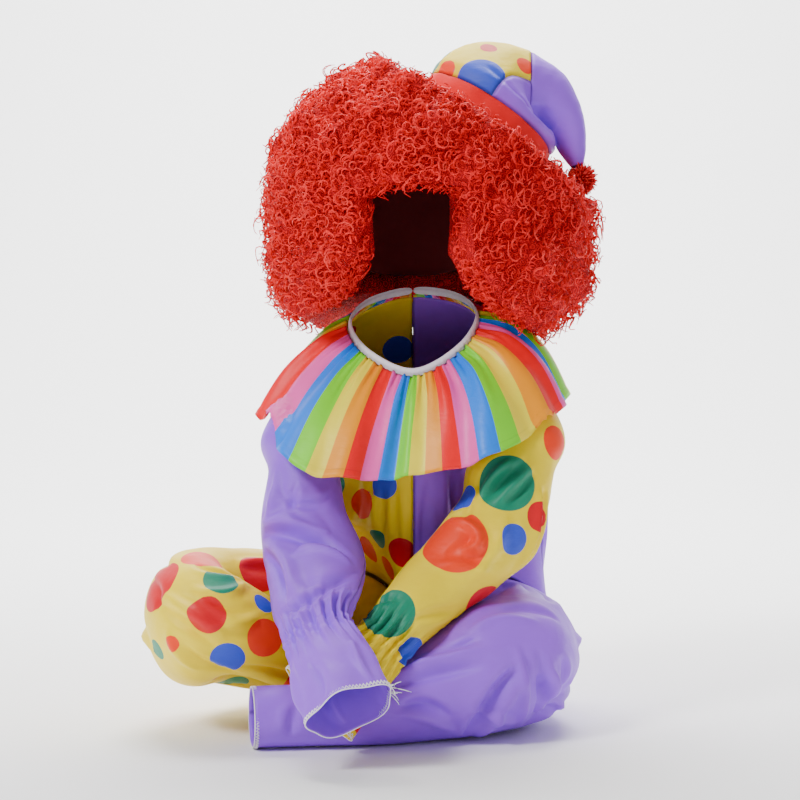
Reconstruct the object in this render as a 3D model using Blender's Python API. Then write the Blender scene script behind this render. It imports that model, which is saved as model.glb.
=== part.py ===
"""A child's clown costume as it is worn, sitting cross-legged: a two-colour jumpsuit with a striped ruffle
collar, a curly wig and a soft pointed hat.

Units are metres and +Z is up. Every table gives heights above the floor that the costume sits on. All objects
hang from one empty, which lowers them so that the origin lies at the centre of the neck opening. The wearer
faces -Y, so the wearer's left half, which is purple, is on +X.
"""

import math

import bpy
import numpy as np

# Driving dimensions
NECK_HEIGHT = 0.352
CLOTH = 0.0015
SEAM = 0.0003
FLOOR_CLEAR = 0.0012
SHOULDER_TILT = 0.07
TILT_FROM = 0.15
TILT_OVER = 0.10

# Grid counts
SLEEVE_COLUMNS = 24
LEG_COLUMNS = 20
PANEL_COLUMNS = LEG_COLUMNS // 2
ARMHOLE_STEPS = SLEEVE_COLUMNS // 4
CUFF_GATHERS = 16
COLLAR_GATHERS = 36
COLLAR_COLUMNS = 3 * COLLAR_GATHERS

# How far resting cloth is lifted clear of the cloth below, so that flat facets never touch
REST_LIFT = 0.0016

PURPLE = (0.40, 0.26, 0.74)
YELLOW = (0.86, 0.75, 0.06)
WHITE = (0.86, 0.80, 0.88)
RED = (0.78, 0.02, 0.03)
CURL_RED = (0.80, 0.06, 0.06)
STRIPES = (0.85, 0.45, 0.10)

# The crotch point, where the four trunk panels and both legs meet
CROTCH = (0.0, 0.008, 0.068)

# Trunk sections of the left half, from the seat up to the neckline. Each row gives a station and five points,
# (x, y, height), from centre front round the side to centre back.
TRUNK = (
    # station, front, front quarter, side, back quarter, back
    ("seat", (0, -0.040, 0.108), (0.050, 0.006, 0.166), (0.123, 0.068, 0.142),
     (0.090, 0.098, 0.022), (0, 0.104, 0.008)),
    ("hip", (0, -0.058, 0.152), (0.050, -0.028, 0.180), (0.127, 0.060, 0.178),
     (0.094, 0.106, 0.092), (0, 0.130, 0.074)),
    ("waist", (0, -0.060, 0.192), (0.050, -0.032, 0.206), (0.125, 0.052, 0.210),
     (0.086, 0.100, 0.186), (0, 0.121, 0.176)),
    ("armpit", (0, -0.058, 0.235), (0.050, -0.030, 0.237), (0.119, 0.040, 0.242),
     (0.080, 0.090, 0.245), (0, 0.106, 0.245)),
    ("chest", (0, -0.058, 0.272), (0.055, -0.028, 0.283), (0.114, 0.022, 0.288),
     (0.074, 0.078, 0.300), (0, 0.089, 0.308)),
    ("shoulder", (0, -0.058, 0.297), (0.050, -0.030, 0.318), (0.099, 0.012, 0.324),
     (0.062, 0.056, 0.343), (0, 0.068, 0.352)),
    ("neckline", (0, -0.0553, 0.315), (0.0425, -0.0375, 0.333), (0.0600, 0.000, 0.359),
     (0.0425, 0.0375, 0.376), (0, 0.0523, 0.385)),
)
ARMPIT_STATION = 4.15
SHOULDER_STATION = 6.0
NECK_STATION = 7.0
ARMHOLE_FRONT = 0.19
ARMHOLE_BACK = 0.09
# The sleeve's seam is set this share of a turn to the front of the armpit
SLEEVE_SET = 2 / 12

# Leg sections from the groin to the hem. yaw and pitch aim the tube, in degrees; yaw 0 is +X and -90 the front.
LEG_COLUMNS_NAMED = ("x", "y", "height", "yaw", "pitch", "wide", "tall")
LEFT_LEG = (
    (0.0000, 0.000, 0.068, -80, 0, 0.066, 0.060),
    (0.0840, -0.025, 0.067, -84, 0, 0.060, 0.061),
    (0.0900, -0.062, 0.067, -96, 0, 0.060, 0.060),
    (0.0830, -0.096, 0.066, -128, 0, 0.060, 0.059),
    (0.0550, -0.121, 0.062, -156, -4, 0.054, 0.056),
    (0.0180, -0.134, 0.047, -170, -12, 0.043, 0.044),
    (-0.0260, -0.147, 0.034, -170, -8, 0.037, 0.033),
    (-0.0820, -0.158, 0.030, -170, 0, 0.031, 0.028),
    (-0.1400, -0.168, 0.029, -171, 0, 0.027, 0.0265),
)
RIGHT_LEG = (
    (0.0000, 0.000, 0.068, 243, 0, 0.067, 0.062),
    (-0.1040, 0.014, 0.078, 222, 8, 0.064, 0.062),
    (-0.1450, -0.012, 0.092, 216, 10, 0.060, 0.063),
    (-0.1800, -0.042, 0.100, 228, 4, 0.052, 0.062),
    (-0.1960, -0.080, 0.102, 266, 0, 0.046, 0.061),
    (-0.1840, -0.112, 0.104, 315, 0, 0.044, 0.053),
    (-0.1560, -0.119, 0.101, 355, -4, 0.038, 0.042),
    (-0.1090, -0.094, 0.075, 378, -18, 0.034, 0.033),
    (-0.0640, -0.076, 0.058, 384, -20, 0.030, 0.030),
    (-0.0220, -0.060, 0.044, 384, -22, 0.026, 0.027),
)

# Sleeve sections after the armhole ring, down to the mouth of the frill. lean tilts the wide axis, in degrees.
SLEEVE_COLUMNS_NAMED = ("x", "y", "height", "aim_x", "aim_y", "aim_z", "lean", "wide", "deep")
RIGHT_SLEEVE = (
    (-0.1040, -0.041, 0.257, -0.10, -0.55, -0.83, 0, 0.033, 0.033),
    (-0.0985, -0.052, 0.228, -0.05, -0.35, -0.93, 0, 0.032, 0.034),
    (-0.0980, -0.068, 0.194, 0.00, -0.35, -0.94, 4, 0.038, 0.037),
    (-0.0900, -0.080, 0.160, 0.00, -0.50, -0.87, 8, 0.045, 0.042),
    (-0.0850, -0.120, 0.141, 0.05, -0.78, -0.62, 14, 0.043, 0.032),
    (-0.0837, -0.162, 0.125, 0.15, -0.80, -0.58, 24, 0.038, 0.027),
    (-0.0822, -0.204, 0.1080, 0.28, -0.72, -0.62, 32, 0.029, 0.017),
    (-0.0666, -0.244, 0.081, 0.30, -0.74, -0.60, 28, 0.036, 0.020),
    (-0.0530, -0.273, 0.052, 0.30, -0.74, -0.60, 24, 0.037, 0.026),
)
LEFT_SLEEVE = (
    (0.1030, -0.038, 0.262, 0.05, -0.55, -0.83, 0, 0.034, 0.033),
    (0.0870, -0.062, 0.231, -0.08, -0.38, -0.92, 4, 0.039, 0.034),
    (0.0825, -0.070, 0.204, -0.15, -0.38, -0.91, 8, 0.039, 0.036),
    (0.0713, -0.084, 0.178, -0.45, -0.40, -0.80, 14, 0.041, 0.037),
    (0.0510, -0.100, 0.160, -0.72, -0.45, -0.53, 24, 0.038, 0.036),
    (0.0220, -0.118, 0.134, -0.75, -0.45, -0.48, 34, 0.034, 0.030),
    (-0.0069, -0.146, 0.112, -0.70, -0.50, -0.50, 40, 0.028, 0.024),
    (-0.0247, -0.166, 0.094, -0.65, -0.48, -0.54, 42, 0.024, 0.015),
    (-0.0540, -0.186, 0.068, -0.68, -0.44, -0.58, 42, 0.034, 0.010),
    (-0.0818, -0.202, 0.044, -0.68, -0.44, -0.58, 42, 0.041, 0.011),
)
# Rows of the sleeve grid, by section number: plain cloth first, then the gathered cuff and its frill
ARM_ROWS = (0.0, 0.5, 1.0, 1.6, 2.3, 3.0, 3.7, 4.4, 5.1)
CUFF_GATHER_DEEP = 0.0022
FRILL_WAVES = 5
FRILL_WAVE_DEEP = 0.0022

# The largest folds of the cloth, where limbs bend and rest. Each runs through three points of its piece's own grid.
# half is half its width and high is how far it stands out, in millimetres, where below zero is a hollow.
FOLD_COLUMNS_NAMED = ("turn_1", "along_1", "turn_2", "along_2", "turn_3", "along_3", "half", "high")
LARGE_FOLDS = {
    "right_sleeve": (
        (0.351, 2.50, 0.244, 3.08, 0.114, 2.68, 5, -2.6),
        (0.441, 3.40, 0.294, 3.56, 0.181, 3.98, 7, 3.6),
        (0.438, 3.72, 0.278, 4.14, 0.114, 5.10, 6, -4.0),
        (0.435, 4.14, 0.371, 5.26, 0.348, 6.13, 6, -4.4),
        (0.268, 5.84, 0.157, 6.08, 0.037, 5.34, 6, -2.6),
        (0.620, 3.20, 0.750, 3.60, 0.880, 3.90, 7, -3.4),
        (0.600, 5.00, 0.720, 5.40, 0.880, 5.20, 6, 3.0),
        (0.550, 2.20, 0.600, 3.00, 0.580, 3.90, 6, -2.6),
    ),
    "left_sleeve": (
        (0.375, 2.63, 0.400, 3.75, 0.470, 4.80, 5, 3.2),
        (0.405, 2.68, 0.440, 3.70, 0.520, 4.63, 5, -3.0),
        (0.147, 5.13, 0.214, 5.16, 0.171, 5.66, 5, -3.0),
        (0.174, 3.57, 0.214, 2.74, 0.301, 2.01, 4, -2.4),
        (0.620, 2.20, 0.660, 3.20, 0.600, 4.30, 7, -3.2),
        (0.750, 4.60, 0.680, 5.40, 0.600, 6.20, 6, 3.0),
        (0.850, 3.00, 0.920, 3.80, 0.880, 4.60, 6, -2.6),
    ),
    "left_leg": (
        (0.341, 5.92, 0.371, 4.97, 0.418, 4.11, 7, 3.0),
        (0.679, 4.69, 0.548, 4.24, 0.475, 3.74, 6, -4.0),
        (0.712, 4.31, 0.565, 3.96, 0.498, 3.59, 7, 3.0),
        (0.502, 3.46, 0.545, 3.31, 0.599, 3.18, 5, -3.0),
        (0.475, 5.82, 0.495, 5.34, 0.569, 4.94, 5, -2.6),
        (0.620, 1.30, 0.560, 2.00, 0.600, 2.70, 8, -3.2),
        (0.200, 1.20, 0.260, 2.00, 0.220, 2.90, 7, 2.6),
        (0.880, 4.20, 0.930, 5.00, 0.900, 5.90, 6, -2.6),
    ),
    "right_leg": (
        (0.438, 4.67, 0.485, 5.34, 0.552, 5.79, 5, -2.4),
        (0.365, 6.35, 0.415, 6.00, 0.391, 5.55, 5, -2.4),
        (0.538, 5.23, 0.619, 5.58, 0.682, 6.19, 5, -2.2),
        (0.500, 1.20, 0.560, 2.20, 0.520, 3.30, 8, -3.4),
        (0.620, 1.40, 0.660, 2.30, 0.640, 3.40, 7, 3.0),
        (0.200, 0.90, 0.300, 1.60, 0.280, 2.60, 7, -2.8),
        (0.850, 5.80, 0.900, 6.50, 0.850, 7.30, 6, -2.8),
    ),
    "front_left_panel": (
        (0.188, 3.89, 0.193, 3.25, 0.198, 2.60, 5, -2.6),
        (0.148, 3.84, 0.148, 3.11, 0.158, 2.22, 6, 2.0),
    ),
    "front_right_panel": (
        (0.141, 3.54, 0.151, 2.88, 0.141, 1.87, 5, -2.0),
        (0.300, 3.40, 0.290, 2.70, 0.310, 1.90, 6, 2.0),
    ),
    "back_left_panel": (
        (0.640, 1.40, 0.680, 2.40, 0.660, 3.60, 8, -3.2),
        (0.760, 1.20, 0.790, 2.20, 0.770, 3.20, 7, 2.6),
        (0.860, 2.40, 0.840, 3.30, 0.880, 4.30, 7, -2.6),
    ),
    "back_right_panel": (
        (0.660, 1.30, 0.640, 2.20, 0.680, 3.30, 8, 2.8),
        (0.740, 1.60, 0.720, 2.60, 0.760, 3.90, 7, -3.2),
        (0.840, 1.10, 0.870, 2.00, 0.850, 2.90, 7, -2.6),
    ),
}
# The coarse grid of the solids can't turn as sharply as cloth, so their folds are this much wider
FOLD_SPREAD = 1.8

# The ruffle collar: four rings of eight points, (x, y, height), from centre front by the left shoulder round.
COLLAR = (
    # ring, front, front left, left, back left, back, back right, right, front right
    ("neck", (0, -0.056, 0.315), (0.043, -0.038, 0.336), (0.061, 0.000, 0.364), (0.043, 0.038, 0.381),
     (0, 0.053, 0.386), (-0.043, 0.038, 0.376), (-0.060, 0.000, 0.357), (-0.043, -0.038, 0.332)),
    ("shoulder", (-0.003, -0.074, 0.293), (0.058, -0.060, 0.320), (0.090, 0.000, 0.358), (0.066, 0.060, 0.364),
     (0, 0.080, 0.364), (-0.064, 0.060, 0.356), (-0.084, 0.000, 0.345), (-0.060, -0.060, 0.310)),
    ("upper arm", (-0.007, -0.091, 0.263), (0.071, -0.089, 0.290), (0.119, -0.002, 0.334), (0.092, 0.086, 0.328),
     (0, 0.106, 0.325), (-0.088, 0.086, 0.320), (-0.113, -0.004, 0.318), (-0.078, -0.089, 0.277)),
    ("edge", (-0.011, -0.106, 0.228), (0.081, -0.113, 0.253), (0.142, -0.008, 0.292), (0.108, 0.106, 0.285),
     (0, 0.123, 0.280), (-0.105, 0.106, 0.277), (-0.139, -0.012, 0.276), (-0.096, -0.116, 0.235)),
)
COLLAR_ROWS = (0.0, 0.35, 0.8, 1.3, 2.0, 3.0)
GATHER_DEEP = 0.0013
EDGE_WAVES = 11
EDGE_WAVE_DEEP = 0.0035
BACK_SLIT = 0.0012

# Neck binding
BINDING_WIDE = 0.0080
BINDING_THICK = 0.0026
BINDING_COLUMNS = 40

# The placket that closes the centre back
PLACKET_HALF = 0.012
PLACKET_TOP = 5.9
PLACKET_BOTTOM = 3.2

# Wig
HEAD = (-0.002, 0.006, 0.475)
HEAD_HALF = (0.070, 0.086, 0.092, 0.160)
HEAD_POWER = (2.0, 3.0)
CURLS = (0.0170, 0.022, 0.484)
CURLS_HALF = (0.160, 0.150, 0.137, 0.147)
CURLS_POWER = (2.0, 4.0)
CROWN_LEAN = math.radians(28)
WIG_COLUMNS = 40
WIG_ROWS = 12
CAP_COLUMNS = 20
CAP_ROWS = 6
CLUMPS = 90
CLUMP_HIGH = 0.010
CLUMP_WIDE = 0.017
WIG_LIFT = 0.0022
PUSHED_ASIDE = 0.007
# How far the curls and the cap reach from the crown, by the bearing round the head from the forehead, in degrees
WIG_RIM = (
    # bearing, curls outside, curls inside, cap
    (0, 111, 107, 100),
    (24, 112, 108, 101),
    (35, 137, 145, 109),
    (60, 145, 152, 116),
    (80, 143, 151, 118),
    (100, 138, 148, 116),
    (120, 131, 138, 112),
    (140, 120, 124, 108),
    (160, 111, 112, 104),
    (180, 108, 107, 102),
)

# Hat: its seam ring sits on the upper left of the wig, in the hat's own tilted frame
HAT_SEAT = (0.0700, 0.006, 0.551)
HAT_AXIS = (0.55, 0.20, 0.81)
HAT_BASE = 0.066
BAND_HIGH = 0.018
HAT_COLUMNS = 24
# Sections of the soft point: centre and aim in the hat's frame (along its slope, along its axis), and radius
HAT_POINT = (
    # slope, rise, turn (degrees from the axis towards the slope), radius
    (0.000, 0.000, 0, 0.066),
    (0.000, 0.014, 4, 0.066),
    (0.003, 0.028, 22, 0.056),
    (0.0146, 0.037, 52, 0.041),
    (0.036, 0.042, 84, 0.029),
    (0.055, 0.036, 106, 0.022),
    (0.070, 0.0255, 124, 0.0165),
    (0.082, 0.015, 131, 0.012),
    (0.093, 0.005, 134, 0.006),
)
YELLOW_GORE_END = 3.2
POMPOM_RADIUS = 0.014


def smoothstep(value):
    """0 below 0, 1 above 1, and a smooth climb between: three times the square less twice the cube."""
    value = np.clip(value, 0.0, 1.0)
    return value * value * (3 - 2 * value)


def unit(vectors):
    """Each vector divided by its own length."""
    vectors = np.asarray(vectors, float)
    return vectors / np.maximum(np.linalg.norm(vectors, axis=-1, keepdims=True), 1e-12)


def columns(names, rows):
    """A table as one array for each named column."""
    values = np.array(rows, float)
    return {name: values[:, i] for i, name in enumerate(names)}


def catmull_rom(curves, along):
    """The smooth line through the curves (first axis), read at along, which counts curves from 0."""
    first = 2 * curves[:1] - curves[1:2]
    last = 2 * curves[-1:] - curves[-2:-1]
    padded = np.concatenate([first, curves, last])
    cell = np.clip(np.floor(along).astype(int), 0, len(curves) - 2)
    part = (along - cell)[..., None]
    a, b, c, d = (np.take_along_axis(padded, (cell + i)[None, ..., None], axis=0)[0] for i in range(4))
    return 0.5 * (2 * b + (c - a) * part + (2 * a - 5 * b + 4 * c - d) * part**2 + (3 * b - a - 3 * c + d) * part**3)


def leaned(points):
    """The shoulders lean: above the hips, points on +X rise and points on -X sink."""
    share = smoothstep((points[..., 2] - TILT_FROM) / TILT_OVER)
    out = points.copy()
    out[..., 2] += SHOULDER_TILT * points[..., 0] * share
    return out


def leg_axes(table, side):
    """Each section's centre, its axis to the outside of the leg and its upward axis."""
    yaw, pitch = np.radians(table["yaw"]), np.radians(table["pitch"])
    across = np.stack([-side * np.sin(yaw), side * np.cos(yaw), 0 * yaw], axis=-1)
    aim = np.stack([np.cos(pitch) * np.cos(yaw), np.cos(pitch) * np.sin(yaw), np.sin(pitch)], axis=-1)
    up = unit(np.array([0, 0, 1.0]) - aim * aim[:, 2:])
    centre = np.stack([table["x"], table["y"], table["height"]], axis=-1)
    centre[0] = np.array(CROTCH) + across[0] * table["wide"][0] + [side * SEAM, 0, 0]
    return centre, across, up


def leg_sections(side, around):
    """The leg's section curves at around, which runs 0 to 1 from the crotch over the top to the outside and back."""
    table = columns(LEG_COLUMNS_NAMED, LEFT_LEG if side > 0 else RIGHT_LEG)
    centre, across, up = leg_axes(table, side)
    angle = 2 * math.pi * around
    out = []
    for i in range(len(centre)):
        out.append(
            centre[i]
            - np.cos(angle)[..., None] * table["wide"][i] * across[i]
            + np.sin(angle)[..., None] * table["tall"][i] * up[i]
        )
    return np.stack(out)


def leg_point(side, around, along):
    """A point of a plain leg: the smooth line through its oval rings, kept above the floor."""
    points = catmull_rom(leg_sections(side, around), along)
    return on_floor(points)


def on_floor(points):
    """Cloth that would sink below the floor lies on it instead, with a soft turn."""
    out = points.copy()
    low = out[..., 2] - FLOOR_CLEAR
    out[..., 2] = FLOOR_CLEAR + 0.5 * (low + np.sqrt(low**2 + 0.002**2)) - 0.001
    out[..., 2] = np.maximum(out[..., 2], FLOOR_CLEAR)
    return out


def resting(points, cloth, lift, spread=0.008):
    """Points that would sink into the cloth below them lie on it instead, at a small lift."""
    cloth = cloth.reshape(-1, 3)
    out = points.copy()
    for k in range(len(out)):
        away = np.linalg.norm(cloth[None, :, :2] - out[k][:, None, :2], axis=-1)
        height = np.where(away < spread, cloth[None, :, 2], -1).max(axis=1)
        out[k][:, 2] = np.maximum(out[k][:, 2], height + lift)
    return out


def trunk_sections(side, around):
    """The trunk's section curves: the leg's own first ring, then each station's line from front to back."""
    curves = [leg_sections(side, around)[0]]
    mirror = np.array([-1, 1, 1])
    for row in TRUNK:
        five = leaned(np.array(row[1:], float) * [side, 1, 1])
        line = np.concatenate([[five[1] * mirror], five, [five[3] * mirror]])
        line = line.reshape((7,) + (1,) * np.ndim(around) + (3,))
        line = np.broadcast_to(line, (7,) + np.shape(around) + (3,))
        curves.append(catmull_rom(line, 1 + 4 * around))
    return np.stack(curves)


def trunk_point(side, around, along):
    """A point of the plain trunk: the smooth line through its stations, kept on its own side of the centre."""
    points = on_floor(catmull_rom(trunk_sections(side, around), along))
    points[..., 0] = side * np.maximum(side * points[..., 0], SEAM / 2)
    return points


def armhole_domain(turn):
    """The armhole as an ellipse on the trunk's own grid: turn 0 is the armpit, 0.25 the front edge, 0.5 the top."""
    half = (SHOULDER_STATION - ARMPIT_STATION) / 2
    along = ARMPIT_STATION + half * (1 - np.cos(2 * math.pi * turn))
    swing = np.sin(2 * math.pi * turn)
    around = 0.5 - np.where(swing > 0, ARMHOLE_FRONT, ARMHOLE_BACK) * swing
    return around, along


def armhole_ring(side, turn):
    """The sleeve's first ring, outside and inside: the armhole's edge drawn in by the seam gap."""
    around, along = armhole_domain(turn + SLEEVE_SET)
    edge = trunk_point(side, around, along)
    lining = edge - CLOTH * surface_normal(trunk_point, side, around, along)
    full_around, full_along = armhole_domain(np.linspace(0, 1, 48, endpoint=False))
    middle = trunk_point(side, full_around, full_along).mean(axis=0)
    drawn_in = 2 * SEAM * unit(middle - edge) + 3 * SEAM * surface_normal(trunk_point, side, around, along)
    return edge + drawn_in, lining + drawn_in


def sleeve_sections(side, turn):
    """The sleeve's section curves at turn, which runs 0 to 1 from the underarm seam by the front and over."""
    table = columns(SLEEVE_COLUMNS_NAMED, LEFT_SLEEVE if side > 0 else RIGHT_SLEEVE)
    lean = np.radians(table["lean"])
    aim = unit(np.stack([table["aim_x"], table["aim_y"], table["aim_z"]], axis=-1))
    hint = np.stack([-side * np.cos(lean), 0 * lean, np.sin(lean)], axis=-1)
    inner = unit(hint - aim * (hint * aim).sum(axis=-1, keepdims=True))
    front = -side * np.cross(aim, inner)
    centre = np.stack([table["x"], table["y"], table["height"]], axis=-1)
    angle = 2 * math.pi * turn
    curves = [armhole_ring(side, turn)[0]]
    for i in range(len(centre)):
        curves.append(
            centre[i]
            + np.cos(angle)[..., None] * table["wide"][i] * inner[i]
            + np.sin(angle)[..., None] * table["deep"][i] * front[i]
        )
    return np.stack(curves)


def surface_normal(point, side, around, along):
    """Unit normals of a surface given as a function of around and along, turned away from its own inside."""
    step = 0.01
    by_around = point(side, around + step, along) - point(side, around - step, along)
    by_along = point(side, around, along + step) - point(side, around, np.maximum(along - step, 0))
    return unit(np.cross(by_around, by_along)) * side


def groin_seam(side, around):
    """The groin seam on the outside, on the inside, and half the way across its gap, from trunk to leg."""
    start = np.zeros(np.shape(around))
    edge = leg_point(side, around, start)
    to_leg = unit(leg_point(side, around, start + 0.1) - edge)
    to_trunk = unit(trunk_point(side, around, start + 0.1) - edge)
    leg_normal = -surface_normal(leg_point, side, around, start)
    trunk_normal = surface_normal(trunk_point, side, around, start)
    mitre = unit(leg_normal + trunk_normal)
    flatness = (mitre * leg_normal).sum(axis=-1)
    depth = CLOTH / np.maximum(flatness, 0.6)
    at_crotch = np.exp(-((edge - np.array(CROTCH)) ** 2).sum(axis=-1) / 0.012**2)
    parting = SEAM * (0.9 + 8.5 * (1 - flatness) + 6 * at_crotch)
    return edge, edge - depth[..., None] * mitre, parting[..., None] * unit(to_leg - to_trunk)


def fold_relief(points, facing, surface, rows, spread=1.0):
    """How far folds lift the cloth at each point, in metres.

    A fold's line is the curve through its three points on the surface. Across it the lift is a bell, high times e
    to the minus (distance / half) squared, with a shallow hollow of the other sign at 2.2 half widths on one side.
    Along it the lift and the width taper to the ends."""
    out = np.zeros(points.shape[:-1])
    whole, flat, normal = out.reshape(-1), points.reshape(-1, 3), facing.reshape(-1, 3)
    share = np.linspace(0, 1, 13)
    for u1, v1, u2, v2, u3, v3, half, high in rows:
        first, middle, last = (1 - share) * (1 - 2 * share), 4 * share * (1 - share), share * (2 * share - 1)
        line = surface(first * u1 + middle * u2 + last * u3, first * v1 + middle * v2 + last * v3)
        start, step = line[:-1], np.diff(line, axis=0)
        reach = np.linalg.norm(line - line[6], axis=-1).max() + 0.03
        near = np.linalg.norm(flat - line[6], axis=-1) < reach
        rest = flat[near][:, None] - start
        part = np.clip((rest * step).sum(axis=-1) / (step * step).sum(axis=-1), 0, 1)
        away = rest - part[..., None] * step
        nearest = np.linalg.norm(away, axis=-1).argmin(axis=1)
        row = np.arange(len(nearest))
        part, away = (part[row, nearest] + nearest) / len(start), away[row, nearest]
        side = np.sign((np.cross(normal[near], step[nearest]) * away).sum(axis=-1))
        taper = np.sin(math.pi * part) ** 0.7
        wide = spread * half / 1000 * (0.45 + 0.55 * taper)
        across = side * np.linalg.norm(away, axis=-1) / wide
        bell = np.exp(-(across**2)) - 0.35 * np.exp(-((across - 2.2) ** 2) / 1.4)
        whole[near] += high / 1000 * taper * bell
    return out


def cuff_section(side):
    """The number of the section that the elastic gathers."""
    return len(LEFT_SLEEVE) - 2 if side > 0 else len(RIGHT_SLEEVE) - 2


def normals(points, closed):
    """Unit normals of a grid of points, rows along and columns around."""
    along = np.gradient(points, axis=0)
    if closed:
        around = np.roll(points, -1, axis=1) - np.roll(points, 1, axis=1)
    else:
        around = np.gradient(points, axis=1)
    return unit(np.cross(along, around))


def outward(points, closed):
    """The same, turned to point away from the middle of each row."""
    found = normals(points, closed)
    middle = points.mean(axis=1, keepdims=True)
    return found * np.sign((found * (points - middle)).sum())


def gathered(points, turn, along, middle):
    """Gathers at the elastic, which die away up the sleeve and down the frill, and the frill's own waves."""
    above = np.clip((middle - along) / 1.1, 0, None)
    below = np.clip((along - middle) / 0.7, 0, None)
    gather = np.exp(-(above**2) * 3) * np.exp(-(below**2) * 3) * CUFF_GATHER_DEEP
    frill = smoothstep((along - middle - 0.5) / 1.5) * FRILL_WAVE_DEEP
    wave = gather * np.sin(2 * math.pi * CUFF_GATHERS * turn) + frill * np.sin(2 * math.pi * FRILL_WAVES * turn)
    return points + wave[..., None] * outward(points, True)


def folded_leg(side, turn, along, spread=1.0):
    """The leg's outside with its largest folds, which start below the groin seam and stay above the floor."""
    plain = leg_point(side, turn, along)
    facing = -surface_normal(leg_point, side, turn, along)

    def surface(u, v):
        return leg_point(side, u, v)

    rows = LARGE_FOLDS["left_leg" if side > 0 else "right_leg"]
    lift = fold_relief(plain, facing, surface, rows, spread) * smoothstep(along / 0.9)
    return on_floor(plain + lift[..., None] * facing)


def leg_cloth(side):
    """A fine grid of one leg's cloth, for what rests on it."""
    along, turn = np.meshgrid(np.linspace(0, 9, 90), np.linspace(0, 1, 60), indexing="ij")
    last = len(LEFT_LEG if side > 0 else RIGHT_LEG) - 1
    return folded_leg(side, turn, np.minimum(along, last), FOLD_SPREAD)


def sleeve_point(side, turn, along):
    """A point of a plain sleeve: the smooth line through its rings, the armhole's own ring first."""
    return catmull_rom(sleeve_sections(side, turn), along)


def folded_sleeve(side, turn, along, spread=1.0):
    """The sleeve's outside with its largest folds, which start below the armhole."""
    plain = sleeve_point(side, turn, along)
    facing = outward(plain, True)

    def surface(u, v):
        return sleeve_point(side, u, v)

    rows = LARGE_FOLDS["left_sleeve" if side > 0 else "right_sleeve"]
    lift = fold_relief(plain, facing, surface, rows, spread) * smoothstep(along / 0.9)
    return plain + lift[..., None] * facing


def sleeve_rings(side):
    """The sleeve's rings: coarse ones down the arm, then twice as many points round the cuff and the frill."""
    legs = np.concatenate([leg_cloth(1).reshape(-1, 3), leg_cloth(-1).reshape(-1, 3)])
    middle = cuff_section(side)
    shift = middle - 7
    arm = np.array(ARM_ROWS)
    if shift:
        arm = np.array([*ARM_ROWS, 5.6, 6.1])
    cuff = middle + np.array([-1.2, -0.7, -0.3, 0.0, 0.3, 0.8, 1.4, 2.0])
    rings = []
    for rows, count in ((arm[:1], SLEEVE_COLUMNS // 2), (arm, SLEEVE_COLUMNS), (cuff, 2 * SLEEVE_COLUMNS)):
        turn = np.linspace(0, 1, count, endpoint=False)
        along, around = np.meshgrid(rows, turn, indexing="ij")
        points = sleeve_point(side, around, along)
        if count >= SLEEVE_COLUMNS:
            points = folded_sleeve(side, around, along, FOLD_SPREAD)
        if count > SLEEVE_COLUMNS:
            points = gathered(points, around, along, middle)
        if count >= SLEEVE_COLUMNS:
            points[1:] = resting(points[1:], legs, REST_LIFT)
        rings.append(points)
    walls = [grid - CLOTH * outward(grid, True) for grid in rings[1:]]
    first = armhole_ring(side, np.linspace(0, 1, SLEEVE_COLUMNS // 2, endpoint=False))[1]
    outer = [rings[0][0], *rings[1][1:], *rings[2]]
    inner = [first, *walls[0][1:], *walls[1]]
    return outer, inner


def ring_faces(first, second, start_first, start_second):
    """Faces between two closed rings, where the second has as many points as the first or twice as many."""
    faces = []
    for i in range(first):
        j = (i + 1) % first
        if second == first:
            faces.append((start_first + i, start_first + j, start_second + j, start_second + i))
            continue
        a, b, c = 2 * i, 2 * i + 1, (2 * i + 2) % second
        faces.append((start_first + i, start_second + b, start_second + a))
        faces.append((start_first + i, start_first + j, start_second + b))
        faces.append((start_first + j, start_second + c, start_second + b))
    return faces


def halves(face):
    """The two triangles of a quad, cut from its first corner, so that the rims on both sides of a seam agree."""
    return [face[:3], (face[0], *face[2:])]


def skin(chain, closed):
    """Points and faces of the bands between the rings of a chain, and from its last ring to its first if closed."""
    starts = np.concatenate([[0], np.cumsum([len(ring) for ring in chain])])
    faces = []
    for k in range(len(chain) if closed else len(chain) - 1):
        n = (k + 1) % len(chain)
        a, b = len(chain[k]), len(chain[n])
        if n == 0:
            faces += [half for face in ring_faces(a, b, int(starts[k]), 0) for half in halves(face)]
        elif b >= a:
            faces += ring_faces(a, b, int(starts[k]), int(starts[n]))
        else:
            faces += [face[::-1] for face in ring_faces(b, a, int(starts[n]), int(starts[k]))]
    return np.concatenate(chain), faces


def tube_solid(outer, inner):
    """A hollow tube, open at both ends, from its outer and inner rings."""
    return skin([*outer, *inner[::-1]], True)


def bowl_solid(outer, inner, crown_outer, crown_inner):
    """A closed shell like a bowl: rings outside and inside, a point at each crown, and one rim."""
    points, faces = skin([*outer, *inner[::-1]], False)
    top, bottom = len(points), len(points) + 1
    count, last = len(inner[0]), len(points) - len(inner[0])
    for i in range(len(outer[0])):
        faces.append((top, (i + 1) % len(outer[0]), i))
    for i in range(count):
        faces.append((bottom, last + i, last + (i + 1) % count))
    return np.concatenate([points, [crown_outer], [crown_inner]]), faces


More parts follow.
